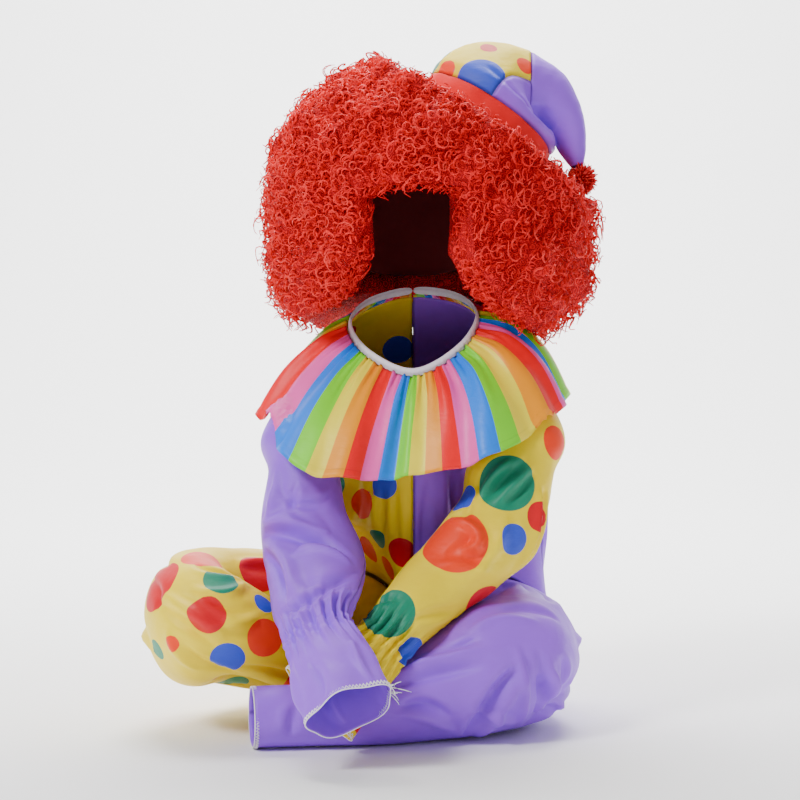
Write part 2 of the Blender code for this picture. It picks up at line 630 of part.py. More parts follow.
def sheet_solid(outer, inner, turned=False):
    """Vertices and faces of a wall between two open grids. turned cuts the first edge's quads the other way."""
    rows, cols = outer.shape[:2]
    index = np.arange(rows * cols).reshape(rows, cols)
    other = index + rows * cols
    faces = []
    for i in range(rows - 1):
        for j in range(cols - 1):
            faces.append((index[i, j], index[i, j + 1], index[i + 1, j + 1], index[i + 1, j]))
            faces.append((other[i + 1, j], other[i + 1, j + 1], other[i, j + 1], other[i, j]))
    edge = [*index[0, :-1], *index[:-1, -1], *index[-1, :0:-1], *index[:0:-1, 0]]
    for k in range(len(edge)):
        a, b = edge[k], edge[(k + 1) % len(edge)]
        rim = (b, a, a + rows * cols, b + rows * cols)
        if turned and k < cols - 1:
            rim = (a, a + rows * cols, b + rows * cols, b)
        faces += halves(rim)
    vertices = np.concatenate([outer.reshape(-1, 3), inner.reshape(-1, 3)])
    return vertices, [tuple(int(i) for i in face) for face in faces]


def make_material(name, colour, roughness=0.8, metallic=0.0):
    material = bpy.data.materials.new(name)
    material.use_nodes = True
    shader = material.node_tree.nodes["Principled BSDF"]
    shader.inputs["Base Color"].default_value = (*colour, 1)
    shader.inputs["Roughness"].default_value = roughness
    shader.inputs["Metallic"].default_value = metallic
    return material


def add_piece(name, vertices, faces, material, carrier):
    """One named object from points and faces, turned to face outwards and hung from the carrier."""
    vertices = np.asarray(vertices, float)
    triangles = np.array([(f[0], f[i], f[i + 1]) for f in faces for i in range(1, len(f) - 1)])
    if np.linalg.det(vertices[triangles] - vertices.mean(axis=0)).sum() < 0:
        faces = [face[::-1] for face in faces]
    mesh = bpy.data.meshes.new(name)
    mesh.from_pydata(vertices.tolist(), [], faces)
    mesh.update()
    mesh.shade_smooth()
    mesh.set_sharp_from_angle(angle=math.radians(50))
    mesh.materials.append(material)
    piece = bpy.data.objects.new(name, mesh)
    bpy.context.scene.collection.objects.link(piece)
    piece.parent = carrier
    return piece


def pulled_back(points, distance):
    """The first row drawn towards the second by a distance, which opens a seam."""
    out = points.copy()
    out[0] += distance * unit(points[1] - points[0])
    return out


def folded_panel(name, side, around, along, spread=1.0):
    """A trunk panel's outside with its largest folds, which die away towards all of its seams."""
    plain = trunk_point(side, around, along)
    facing = surface_normal(trunk_point, side, around, along)

    def surface(u, v):
        return trunk_point(side, u, v)

    share = np.linspace(0, 1, around.shape[1])
    inland = smoothstep(share / 0.25) * smoothstep((1 - share) / 0.25)
    inland = inland * smoothstep(along / 0.9) * smoothstep((NECK_STATION - along) / 0.8)
    lift = fold_relief(plain, facing, surface, LARGE_FOLDS[name], spread) * inland
    return plain + lift[..., None] * facing


def add_panel(name, side, front, material, carrier):
    """One trunk panel, from its centre seam to the side seam, the armhole and the shoulder seam."""
    hole = armhole_domain(np.linspace(0, 0.5, ARMHOLE_STEPS + 1))[1]
    rows = np.concatenate([np.linspace(0, ARMPIT_STATION, 9)[:-1], hole, [6.5, NECK_STATION]])
    bite = np.zeros(len(rows))
    inside = (rows > ARMPIT_STATION) & (rows < SHOULDER_STATION)
    share = (2 * (rows - ARMPIT_STATION) / (SHOULDER_STATION - ARMPIT_STATION) - 1)[inside]
    bite[inside] = np.sqrt(1 - share**2)
    if front:
        edge = 0.5 - ARMHOLE_FRONT * bite
        around = edge[:, None] * np.linspace(0, 1, PANEL_COLUMNS + 1)
    else:
        edge = 0.5 + ARMHOLE_BACK * bite
        around = 1 - (1 - edge)[:, None] * np.linspace(0, 1, PANEL_COLUMNS + 1)
    along = np.broadcast_to(rows[:, None], around.shape)
    outer = folded_panel(name, side, around, along, FOLD_SPREAD)
    inner = outer - CLOTH * surface_normal(trunk_point, side, around, along)
    edge, lining, across = groin_seam(side, around[0])
    outer[0], inner[0] = edge - across, lining - across
    ahead = trunk_point(side, around[:, -1] + 0.01, along[:, -1])
    behind = trunk_point(side, around[:, -1] - 0.01, along[:, -1])
    parting = (-0.9 if front else 0.9) * SEAM * unit(ahead - behind)
    outer[:, -1] += parting
    inner[:, -1] += parting
    for grid in (outer, inner):
        grid[..., 0] = side * np.maximum(side * grid[..., 0], SEAM / 2)
    add_piece(name, *sheet_solid(outer, inner, turned=not front), material, carrier)


def add_leg(name, side, material, carrier):
    """One trouser leg, from the groin seam round the bent knee to its hem."""
    last = len(LEFT_LEG if side > 0 else RIGHT_LEG) - 1
    rows = np.linspace(0, last, 2 * last + 1)
    around = np.linspace(0, 1, LEG_COLUMNS, endpoint=False)
    along, turn = np.meshgrid(rows, around, indexing="ij")
    outer = folded_leg(side, turn, along, FOLD_SPREAD)
    inner = outer - CLOTH * outward(outer, True)
    edge, lining, across = groin_seam(side, around)
    outer[0], inner[0] = edge + across, lining + across
    for grid in (outer, inner):
        grid[0, :, 0] = side * np.maximum(side * grid[0, :, 0], SEAM / 2)
    add_piece(name, *tube_solid(list(outer), list(inner)), material, carrier)


def add_sleeve(name, side, material, carrier):
    add_piece(name, *tube_solid(*sleeve_rings(side)), material, carrier)


def collar_point(turn, ring):
    """A point of the plain collar. turn 0 to 1 runs from centre front by the left shoulder round to the front."""
    table = np.array([row[1:] for row in COLLAR], float)
    looped = np.concatenate([table[:, -1:], table, table[:, :2]], axis=1)
    curves = []
    for line in looped:
        line = line.reshape((len(line),) + (1,) * np.ndim(turn) + (3,))
        line = np.broadcast_to(line, (len(line),) + np.shape(turn) + (3,))
        curves.append(catmull_rom(line, 1 + 8 * turn))
    return catmull_rom(np.stack(curves), ring)


def collar_normals(points):
    """Normals of the collar, which point up and out."""
    found = normals(points, False)
    return found * np.sign(found[..., 2].mean())


def collar_surface(turn, ring):
    """The collar's outside: gathers that die away from the neck, soft waves that grow, and the arms below it."""
    plain = collar_point(turn % 1.0, ring)
    gather = GATHER_DEEP * np.exp(-((ring / 1.6) ** 2)) * np.sin(2 * math.pi * COLLAR_GATHERS * turn)
    wave = EDGE_WAVE_DEEP * smoothstep(ring / 3) * np.sin(2 * math.pi * EDGE_WAVES * turn)
    outer = plain + (gather + wave + GATHER_DEEP + CLOTH - 3 * SEAM)[..., None] * collar_normals(plain)
    along, around = np.meshgrid(np.linspace(0, 2.5, 30), np.linspace(0, 1, 60), indexing="ij")
    arms = [catmull_rom(sleeve_sections(side, around), along) for side in (1, -1)]
    return resting(outer, np.stack(arms), CLOTH + REST_LIFT)


def add_collar(material, carrier):
    """The gathered ruffle, open at the centre back."""
    half_slit = 0.003
    turn = np.linspace(0.5 + half_slit, 1.5 - half_slit, COLLAR_COLUMNS + 1)
    ring, around = np.meshgrid(np.array(COLLAR_ROWS), turn, indexing="ij")
    outer = pulled_back(collar_surface(around, ring), SEAM)
    inner = outer - CLOTH * collar_normals(outer)
    add_piece("collar_ruffle", *sheet_solid(outer, inner), material, carrier)


def add_binding(material, carrier):
    """The white binding round the neckline, an open ring of flat rounded section that stands on both edges."""
    turn = np.linspace(0.5 + BACK_SLIT, 1.5 - BACK_SLIT, BINDING_COLUMNS + 1)
    neck = collar_point(turn % 1.0, 0 * turn)
    middle = neck.mean(axis=0)
    inward = unit((middle - neck) * [1, 1, 0])
    rise = unit(0.35 * inward + np.array([0, 0, 1.0]))
    along = unit(np.gradient(neck, axis=0))
    thick = unit(np.cross(along, rise))
    base = neck + (BINDING_WIDE / 2 + 0.0004) * rise + 0.0004 * inward
    angle = np.linspace(0, 2 * math.pi, 6, endpoint=False)
    rings = base[:, None] + BINDING_WIDE / 2 * np.cos(angle)[None, :, None] * rise[:, None]
    rings = rings + BINDING_THICK / 2 * np.sin(angle)[None, :, None] * thick[:, None]
    count = len(angle)
    faces = []
    for k in range(len(rings) - 1):
        faces += ring_faces(count, count, k * count, (k + 1) * count)
    faces.append(tuple(range(count))[::-1])
    faces.append(tuple(range((len(rings) - 1) * count, len(rings) * count)))
    add_piece("neck_binding", rings.reshape(-1, 3), faces, material, carrier)


def add_placket(material, carrier):
    """The lapped strip down the centre back that hides the fastening, made from the back panels' own points."""
    rows = np.linspace(PLACKET_TOP, PLACKET_BOTTOM, 8)
    offsets = np.array([-1.0, -0.5, 0.0, 0.5, 1.0]) * PLACKET_HALF
    lift = 2 * SEAM
    grid = np.empty((len(rows), len(offsets), 3))
    for j, offset in enumerate(offsets):
        side = -1 if offset < 0 else 1
        reach = trunk_point(side, np.full(len(rows), 0.97), rows)
        centre = trunk_point(side, np.ones(len(rows)), rows)
        grid[:, j] = centre + (reach - centre) * (abs(offset) / np.abs(reach[:, 0]))[:, None]
        grid[:, j, 0] = offset
    facing = normals(grid, False)
    facing = facing * np.sign(facing[..., 1].mean())
    inner = grid + lift * facing
    add_piece("back_placket", *sheet_solid(inner + CLOTH * facing, inner), material, carrier)


def head_directions(bearing, reach):
    """Directions from the head's middle: reach is the angle from the leaned crown, bearing runs from the forehead."""
    crown = np.array([0, math.sin(CROWN_LEAN), math.cos(CROWN_LEAN)])
    brow = np.array([0, -math.cos(CROWN_LEAN), math.sin(CROWN_LEAN)])
    flank = np.array([1.0, 0, 0])
    ring = np.cos(bearing)[..., None] * brow + np.sin(bearing)[..., None] * flank
    return np.cos(reach)[..., None] * crown + np.sin(reach)[..., None] * ring


def rounded_reach(direction, centre, half, power):
    """How far a ray from the head's middle goes before it leaves a rounded form, which is oval from above.

    half is across, deep, up and down. Below the centre the second power holds, and a higher power is squarer.
    """
    start = np.array(HEAD) - np.array(centre)
    near, far = np.zeros(direction.shape[:-1]), np.full(direction.shape[:-1], 0.4)
    for _ in range(34):
        reach = (near + far) / 2
        point = np.abs(start + direction * reach[..., None])
        low = (start + direction * reach[..., None])[..., 2] < 0
        high = np.where(low, half[3], half[2])
        exponent = np.where(low, power[1], power[0])
        size = np.hypot(point[..., 0] / half[0], point[..., 1] / half[1]) ** exponent
        size = size + (point[..., 2] / high) ** exponent
        near, far = np.where(size < 1, reach, near), np.where(size < 1, far, reach)
    return near


def hat_frame():
    """The hat's axis, the way down its slope, and the side that faces the front."""
    axis = unit(np.array(HAT_AXIS))
    slope = unit(np.array([1.0, 0, 0]) - axis * axis[0])
    return axis, slope, np.cross(axis, slope)


def clump_centres():
    """Evenly spread directions for the clumps of curls, by the golden angle."""
    i = np.arange(CLUMPS) + 0.5
    height = 1 - 2 * i / CLUMPS
    angle = math.pi * (1 + math.sqrt(5)) * i
    flat = np.sqrt(1 - height**2)
    return np.stack([flat * np.cos(angle), flat * np.sin(angle), height], axis=-1)


def hat_in_the_curls():
    """Centres and radii of balls that stand for the hanging point and its pompom, which push the curls aside."""
    axis, slope, _ = hat_frame()
    balls = []
    for along_slope, rise, _, radius in HAT_POINT[4:]:
        balls.append((np.array(HAT_SEAT) + along_slope * slope + rise * axis, radius + PUSHED_ASIDE))
    balls.append((pompom_centre(), POMPOM_RADIUS + PUSHED_ASIDE))
    return balls


def curl_surface(direction):
    """The outside of the mass of curls: a rounded form with clumps, pressed flat under the hat."""
    reach = rounded_reach(direction, CURLS, CURLS_HALF, CURLS_POWER)
    closeness = direction @ clump_centres().T
    spacing = CLUMP_WIDE / 0.15
    rise = np.exp(-(2 - 2 * closeness) / spacing**2).max(axis=-1)
    reach = reach - CLUMP_HIGH * (1 - rise)
    axis, _, _ = hat_frame()
    below = (np.array(HAT_SEAT) - np.array(HEAD)) @ axis - BAND_HIGH - 0.0035
    seat = np.array(HAT_SEAT) - np.array(HEAD)
    flat = below / np.maximum(direction @ axis, 0.2)
    landing = direction * flat[..., None] - seat
    away = np.linalg.norm(landing - (landing @ axis)[..., None] * axis, axis=-1)
    share = smoothstep((away - HAT_BASE - 0.004) / 0.045)
    pressed = np.minimum(reach, flat + share * np.maximum(reach - flat, 0))
    reach = np.where(direction @ axis > 0.25, pressed, reach)
    for centre, radius in hat_in_the_curls():
        offset = centre - np.array(HEAD)
        nearest = direction @ offset
        miss = offset @ offset - nearest**2
        touch = nearest - np.sqrt(np.maximum(radius**2 - miss, 0))
        reach = np.where((miss < radius**2) & (nearest > 0), np.minimum(reach, touch), reach)
    return reach


def rim(bearing, column):
    """The reach of a rim at each bearing, from WIG_RIM, in radians."""
    table = np.array(WIG_RIM, float)
    folded = np.degrees(np.abs((bearing + math.pi) % (2 * math.pi) - math.pi))
    return np.radians(np.interp(folded, table[:, 0], table[:, column]))


def wig_grid(rows, count, column, surface, start):
    """Rings of points on a surface round the head, from near the crown to a rim."""
    bearing = np.linspace(0, 2 * math.pi, count, endpoint=False)
    share = np.linspace(start, 1, rows)
    reach = share[:, None] * rim(bearing, column)[None]
    direction = head_directions(np.broadcast_to(bearing, reach.shape), reach)
    return np.array(HEAD) + direction * surface(direction)[..., None]


def add_wig(curl_material, cap_material, carrier):
    """The cap that fits the head, and the mass of curls sewn all over it."""

    def head_skin(extra):
        def surface(direction):
            return rounded_reach(direction, HEAD, HEAD_HALF, HEAD_POWER) + extra

        return surface

    crown = head_directions(np.array(0.0), np.array(0.0))

    def at_crown(surface):
        return np.array(HEAD) + crown * surface(crown[None])[0]

    cap_in, cap_out, curls_in = head_skin(0.0), head_skin(CLOTH), head_skin(CLOTH + 3 * SEAM)
    outer = wig_grid(CAP_ROWS, CAP_COLUMNS, 3, cap_out, 0.14)
    inner = wig_grid(CAP_ROWS, CAP_COLUMNS, 3, cap_in, 0.14)
    add_piece("wig_cap", *bowl_solid(outer, inner, at_crown(cap_out), at_crown(cap_in)), cap_material, carrier)

    ring, turn = np.meshgrid(np.linspace(0, 3, 40), np.linspace(0, 1, 240), indexing="ij")
    collar = collar_surface(turn, ring)
    outer = resting(wig_grid(WIG_ROWS, WIG_COLUMNS, 1, curl_surface, 0.07), collar, WIG_LIFT)
    below_cap = wig_grid(9, CAP_COLUMNS, 2, curls_in, 0.14)[-2:]
    inner = np.concatenate([wig_grid(CAP_ROWS, CAP_COLUMNS, 3, curls_in, 0.14), below_cap])
    inner = resting(inner, collar, WIG_LIFT)
    crowns = at_crown(curl_surface), at_crown(curls_in)
    add_piece("wig_curls", *bowl_solid(outer, inner, *crowns), curl_material, carrier)


def hat_sections(turn):
    """The soft point's section curves at turn, where 0 is the front seam and 0.25 the downhill side."""
    axis, slope, front = hat_frame()
    curves = []
    for along_slope, rise, bend, radius in HAT_POINT:
        bend = math.radians(bend)
        across = math.cos(bend) * slope - math.sin(bend) * axis
        centre = np.array(HAT_SEAT) + along_slope * slope + rise * axis
        angle = 2 * math.pi * turn
        curves.append(centre + radius * (np.sin(angle)[..., None] * across - np.cos(angle)[..., None] * front))
    return np.stack(curves)


def hat_point(turn, along):
    """A point of the hat: the smooth line through its round sections."""
    return catmull_rom(hat_sections(turn), along)


def pompom_centre():
    """The pompom hangs from the end of the soft point."""
    ends = np.array([0.0, 0.5])
    tip = hat_point(ends, np.full(2, len(HAT_POINT) - 1.0)).mean(axis=0)
    before = hat_point(ends, np.full(2, len(HAT_POINT) - 1.6)).mean(axis=0)
    return tip + (0.93 * POMPOM_RADIUS + SEAM) * unit(tip - before)


def gore(rows, turns):
    """Outer and inner grids of one hat panel, whose side edges draw apart by the seam gap."""
    along, turn = np.meshgrid(rows, turns, indexing="ij")
    full = hat_point(turn, along)
    step = 0.01
    by_turn = hat_point(turn + step, along) - hat_point(turn - step, along)
    by_along = hat_point(turn, along + step) - hat_point(turn, along - step)
    facing = unit(np.cross(by_turn, by_along))
    middle = hat_point(turn + 0.5, along)
    facing = facing * np.sign((facing * (full - middle)).sum())
    full[:, 0] += SEAM / 2 * unit(full[:, 1] - full[:, 0])
    full[:, -1] += SEAM / 2 * unit(full[:, -2] - full[:, -1])
    return full, full - CLOTH * facing


def add_hat(yellow, purple, red, carrier):
    """The hat: a red band, a yellow gore on the uphill side, a purple gore that runs on into the hanging point."""
    half = HAT_COLUMNS // 2
    up_turns = np.linspace(0.5, 1.0, half + 1)
    down_turns = np.linspace(0.0, 0.5, half + 1)
    crown_rows = np.linspace(0.0, YELLOW_GORE_END, 8)
    outer, inner = gore(crown_rows, up_turns)
    add_piece("hat_gore_yellow", *sheet_solid(outer, inner), yellow, carrier)
    outer, inner = gore(crown_rows, down_turns)
    add_piece("hat_gore_purple", *sheet_solid(outer, inner), purple, carrier)

    turn = np.linspace(0, 1, HAT_COLUMNS // 2, endpoint=False)
    tip_rows = np.linspace(YELLOW_GORE_END, len(HAT_POINT) - 1, 9)
    along, around = np.meshgrid(tip_rows, turn, indexing="ij")
    outer = pulled_back(hat_point(around, along), SEAM)
    inner = outer - CLOTH * outward(outer, True)
    add_piece("hat_tip_purple", *tube_solid(list(outer), list(inner)), purple, carrier)

    axis, slope, front = hat_frame()
    angle = np.linspace(0, 2 * math.pi, HAT_COLUMNS, endpoint=False)
    spoke = np.cos(angle)[:, None] * slope + np.sin(angle)[:, None] * front
    rings = []
    outside = ((0, -SEAM), (0.0012, -0.009), (0, -BAND_HIGH))
    profile = (*outside, *((out - CLOTH, rise) for out, rise in outside[::-1]))
    for out, rise in profile:
        rings.append(np.array(HAT_SEAT) + (HAT_BASE + out) * spoke + rise * axis)
    add_piece("hat_band", *tube_solid(rings[:3], rings[3:][::-1]), red, carrier)

    bpy.ops.mesh.primitive_ico_sphere_add(subdivisions=2, radius=POMPOM_RADIUS)
    pompom = bpy.context.object
    pompom.name = "hat_pompom"
    pompom.location = pompom_centre().tolist()
    pompom.data.shade_smooth()
    pompom.data.materials.append(red)
    pompom.parent = carrier


def clear_scene():
    for piece in list(bpy.data.objects):
        bpy.data.objects.remove(piece, do_unlink=True)


def main():
    clear_scene()
    carrier = bpy.data.objects.new("floor_level", None)
    carrier.location = (0, 0, -NECK_HEIGHT)
    bpy.context.scene.collection.objects.link(carrier)

    purple = make_material("purple_cloth", PURPLE, 0.62)
    yellow = make_material("yellow_dotted_cloth", YELLOW, 0.62)
    striped = make_material("striped_satin", STRIPES, 0.5)
    white = make_material("white_binding", WHITE, 0.7)
    red = make_material("red_cloth", RED, 0.7)
    curl_red = make_material("red_curls", CURL_RED, 0.55)
    cap_net = make_material("wig_cap_net", (0.35, 0.03, 0.03), 0.9)

    add_panel("front_left_panel", 1, True, purple, carrier)
    add_panel("front_right_panel", -1, True, yellow, carrier)
    add_panel("back_left_panel", 1, False, purple, carrier)
    add_panel("back_right_panel", -1, False, yellow, carrier)
    add_leg("left_leg", 1, purple, carrier)
    add_leg("right_leg", -1, yellow, carrier)
    add_sleeve("left_sleeve", 1, yellow, carrier)
    add_sleeve("right_sleeve", -1, purple, carrier)
    add_collar(striped, carrier)
    add_binding(white, carrier)
    add_placket(purple, carrier)
    add_wig(curl_red, cap_net, carrier)
    add_hat(yellow, purple, red, carrier)


main()
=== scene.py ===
# %% [markdown]
# # A child's clown costume, worn and sitting cross-legged
#
# The costume is one set: a jumpsuit in two halves, plain purple on the wearer's left and yellow with big dots on
# the right, with sleeves the other way about, a striped ruffle collar with a white binding, a red curly wig and a
# soft pointed hat. It keeps the pose that it has on a seated child, and it is hollow. Each cell below makes one
# piece of it or one finish. The plain solids are loaded first, as the frame that every piece has to follow.

# %% Load the frame
import math

import bpy
import numpy as np
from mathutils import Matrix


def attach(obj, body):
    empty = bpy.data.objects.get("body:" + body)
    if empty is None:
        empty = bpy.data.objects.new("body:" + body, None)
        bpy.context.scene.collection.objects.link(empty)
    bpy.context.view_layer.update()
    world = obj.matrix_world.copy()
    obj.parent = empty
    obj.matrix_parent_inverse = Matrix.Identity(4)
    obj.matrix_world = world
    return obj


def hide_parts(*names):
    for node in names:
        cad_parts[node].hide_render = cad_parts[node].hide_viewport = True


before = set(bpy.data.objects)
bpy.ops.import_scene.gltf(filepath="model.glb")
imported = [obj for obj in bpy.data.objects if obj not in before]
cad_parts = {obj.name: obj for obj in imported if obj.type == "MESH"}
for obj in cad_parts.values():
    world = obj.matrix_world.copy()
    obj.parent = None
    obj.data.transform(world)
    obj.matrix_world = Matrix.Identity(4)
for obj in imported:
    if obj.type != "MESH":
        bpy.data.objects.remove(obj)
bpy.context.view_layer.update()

# %% [markdown]
# The camera comes first, so that every piece can be judged from the same seat. A child is photographed from a
# little above the knees, a good two metres away, with a long lens, so the costume shows almost no perspective.
# The numbers are in metres and degrees: the lens is 117 mm on a 36 mm sensor, and the camera looks down 3.7°.

# %% Camera
CAMERA_AT = (-0.012, -2.4, 0.095)
CAMERA_DOWN = math.atan(170 / 2609)
camera = bpy.data.objects.new("camera", bpy.data.cameras.new("camera"))
bpy.context.scene.collection.objects.link(camera)
camera.location = CAMERA_AT
camera.rotation_euler = (math.pi / 2 - CAMERA_DOWN, 0, 0)
camera.data.lens = 117.4
camera.data.sensor_width = 36
bpy.context.scene.camera = camera
print("camera looks down by", round(math.degrees(CAMERA_DOWN), 2), "degrees")

# %% [markdown]
# The costume's form is held in small tables: rings round each leg and sleeve, stations up the trunk, rings of the
# collar, and sections of the hat. They are the tables that the solids were made from, in metres above the floor.
# A denser grid on the same tables gives room for folds, gathers and dots and still fits the solids.

# %% Tables of the form
NECK_HEIGHT = 0.352
CLOTH = 0.0015
SEAM = 0.0003
FLOOR_CLEAR = 0.0012
SHOULDER_TILT = 0.07
TILT_FROM = 0.15
TILT_OVER = 0.10
CUFF_GATHERS = 16
COLLAR_GATHERS = 36
# How far resting cloth is lifted clear of the cloth below, so that flat facets never touch
REST_LIFT = 0.0016
# The crotch point, where the four trunk panels and both legs meet
CROTCH = (0.0, 0.008, 0.068)
# Trunk sections of the left half, from the seat up to the neckline. Each row gives a station and five points,
# (x, y, height), from centre front round the side to centre back.
TRUNK = (
    # station, front, front quarter, side, back quarter, back
    ("seat", (0, -0.040, 0.108), (0.050, 0.006, 0.166), (0.123, 0.068, 0.142),
     (0.090, 0.098, 0.022), (0, 0.104, 0.008)),
    ("hip", (0, -0.058, 0.152), (0.050, -0.028, 0.180), (0.127, 0.060, 0.178),
     (0.094, 0.106, 0.092), (0, 0.130, 0.074)),
    ("waist", (0, -0.060, 0.192), (0.050, -0.032, 0.206), (0.125, 0.052, 0.210),
     (0.086, 0.100, 0.186), (0, 0.121, 0.176)),
    ("armpit", (0, -0.058, 0.235), (0.050, -0.030, 0.237), (0.119, 0.040, 0.242),
     (0.080, 0.090, 0.245), (0, 0.106, 0.245)),
    ("chest", (0, -0.058, 0.272), (0.055, -0.028, 0.283), (0.114, 0.022, 0.288),
     (0.074, 0.078, 0.300), (0, 0.089, 0.308)),
    ("shoulder", (0, -0.058, 0.297), (0.050, -0.030, 0.318), (0.099, 0.012, 0.324),
     (0.062, 0.056, 0.343), (0, 0.068, 0.352)),
    ("neckline", (0, -0.0553, 0.315), (0.0425, -0.0375, 0.333), (0.0600, 0.000, 0.359),
     (0.0425, 0.0375, 0.376), (0, 0.0523, 0.385)),
)
ARMPIT_STATION = 4.15
SHOULDER_STATION = 6.0
NECK_STATION = 7.0
ARMHOLE_FRONT = 0.19
ARMHOLE_BACK = 0.09
# The sleeve's seam is set this share of a turn to the front of the armpit
SLEEVE_SET = 2 / 12
# Leg sections from the groin to the hem. yaw and pitch aim the tube, in degrees; yaw 0 is +X and -90 the front.
LEG_COLUMNS = ("x", "y", "height", "yaw", "pitch", "wide", "tall")
LEFT_LEG = (
    (0.0000, 0.000, 0.068, -80, 0, 0.066, 0.060),
    (0.0840, -0.025, 0.067, -84, 0, 0.060, 0.061),
    (0.0900, -0.062, 0.067, -96, 0, 0.060, 0.060),
    (0.0830, -0.096, 0.066, -128, 0, 0.060, 0.059),
    (0.0550, -0.121, 0.062, -156, -4, 0.054, 0.056),
    (0.0180, -0.134, 0.047, -170, -12, 0.043, 0.044),
    (-0.0260, -0.147, 0.034, -170, -8, 0.037, 0.033),
    (-0.0820, -0.158, 0.030, -170, 0, 0.031, 0.028),
    (-0.1400, -0.168, 0.029, -171, 0, 0.027, 0.0265),
)
RIGHT_LEG = (
    (0.0000, 0.000, 0.068, 243, 0, 0.067, 0.062),
    (-0.1040, 0.014, 0.078, 222, 8, 0.064, 0.062),
    (-0.1450, -0.012, 0.092, 216, 10, 0.060, 0.063),
    (-0.1800, -0.042, 0.100, 228, 4, 0.052, 0.062),
    (-0.1960, -0.080, 0.102, 266, 0, 0.046, 0.061),
    (-0.1840, -0.112, 0.104, 315, 0, 0.044, 0.053),
    (-0.1560, -0.119, 0.101, 355, -4, 0.038, 0.042),
    (-0.1090, -0.094, 0.075, 378, -18, 0.034, 0.033),
    (-0.0640, -0.076, 0.058, 384, -20, 0.030, 0.030),
    (-0.0220, -0.060, 0.044, 384, -22, 0.026, 0.027),
)
# Sleeve sections after the armhole ring, down to the mouth of the frill. lean tilts the wide axis, in degrees.
SLEEVE_COLUMNS = ("x", "y", "height", "aim_x", "aim_y", "aim_z", "lean", "wide", "deep")
RIGHT_SLEEVE = (
    (-0.1040, -0.041, 0.257, -0.10, -0.55, -0.83, 0, 0.033, 0.033),
    (-0.0985, -0.052, 0.228, -0.05, -0.35, -0.93, 0, 0.032, 0.034),
    (-0.0980, -0.068, 0.194, 0.00, -0.35, -0.94, 4, 0.038, 0.037),
    (-0.0900, -0.080, 0.160, 0.00, -0.50, -0.87, 8, 0.045, 0.042),
    (-0.0850, -0.120, 0.141, 0.05, -0.78, -0.62, 14, 0.043, 0.032),
    (-0.0837, -0.162, 0.125, 0.15, -0.80, -0.58, 24, 0.038, 0.027),
    (-0.0822, -0.204, 0.1080, 0.28, -0.72, -0.62, 32, 0.029, 0.017),
    (-0.0666, -0.244, 0.081, 0.30, -0.74, -0.60, 28, 0.036, 0.020),
    (-0.0530, -0.273, 0.052, 0.30, -0.74, -0.60, 24, 0.037, 0.026),
)
LEFT_SLEEVE = (
    (0.1030, -0.038, 0.262, 0.05, -0.55, -0.83, 0, 0.034, 0.033),
    (0.0870, -0.062, 0.231, -0.08, -0.38, -0.92, 4, 0.039, 0.034),
    (0.0825, -0.070, 0.204, -0.15, -0.38, -0.91, 8, 0.039, 0.036),
    (0.0713, -0.084, 0.178, -0.45, -0.40, -0.80, 14, 0.041, 0.037),
    (0.0510, -0.100, 0.160, -0.72, -0.45, -0.53, 24, 0.038, 0.036),
    (0.0220, -0.118, 0.134, -0.75, -0.45, -0.48, 34, 0.034, 0.030),
    (-0.0069, -0.146, 0.112, -0.70, -0.50, -0.50, 40, 0.028, 0.024),
    (-0.0247, -0.166, 0.094, -0.65, -0.48, -0.54, 42, 0.024, 0.015),
    (-0.0540, -0.186, 0.068, -0.68, -0.44, -0.58, 42, 0.034, 0.010),
    (-0.0818, -0.202, 0.044, -0.68, -0.44, -0.58, 42, 0.041, 0.011),
)
CUFF_GATHER_DEEP = 0.0022
FRILL_WAVES = 5
FRILL_WAVE_DEEP = 0.0022
# The ruffle collar: four rings of eight points, (x, y, height), from centre front by the left shoulder round.
COLLAR = (
    # ring, front, front left, left, back left, back, back right, right, front right
    ("neck", (0, -0.056, 0.315), (0.043, -0.038, 0.336), (0.061, 0.000, 0.364), (0.043, 0.038, 0.381),
     (0, 0.053, 0.386), (-0.043, 0.038, 0.376), (-0.060, 0.000, 0.357), (-0.043, -0.038, 0.332)),
    ("shoulder", (-0.003, -0.074, 0.293), (0.058, -0.060, 0.320), (0.090, 0.000, 0.358), (0.066, 0.060, 0.364),
     (0, 0.080, 0.364), (-0.064, 0.060, 0.356), (-0.084, 0.000, 0.345), (-0.060, -0.060, 0.310)),
    ("upper arm", (-0.007, -0.091, 0.263), (0.071, -0.089, 0.290), (0.119, -0.002, 0.334), (0.092, 0.086, 0.328),
     (0, 0.106, 0.325), (-0.088, 0.086, 0.320), (-0.113, -0.004, 0.318), (-0.078, -0.089, 0.277)),
    ("edge", (-0.011, -0.106, 0.228), (0.081, -0.113, 0.253), (0.142, -0.008, 0.292), (0.108, 0.106, 0.285),
     (0, 0.123, 0.280), (-0.105, 0.106, 0.277), (-0.139, -0.012, 0.276), (-0.096, -0.116, 0.235)),
)
GATHER_DEEP = 0.0013
EDGE_WAVES = 11
EDGE_WAVE_DEEP = 0.0035
BACK_SLIT = 0.0012
# Neck binding
BINDING_WIDE = 0.0080
BINDING_THICK = 0.0026
# The placket that closes the centre back
PLACKET_HALF = 0.012
PLACKET_TOP = 5.9
PLACKET_BOTTOM = 3.2
print("rings in the legs:", len(LEFT_LEG), len(RIGHT_LEG), "and in the sleeves:", len(LEFT_SLEEVE), len(RIGHT_SLEEVE))

# %% [markdown]
# Every surface here is a function of two numbers, one that runs round the piece and one that runs along it. A
# smooth line is drawn through the rings of the table, so a few rings describe a bent knee or a drooping cuff. The
# same could be sculpted by hand, but a function can be asked for a point anywhere, as often as a fold needs it.

# %% Surfaces of the jumpsuit
def smoothstep(value):
    """0 below 0, 1 above 1, and a smooth climb between: three times the square less twice the cube."""
    value = np.clip(value, 0.0, 1.0)
    return value * value * (3 - 2 * value)


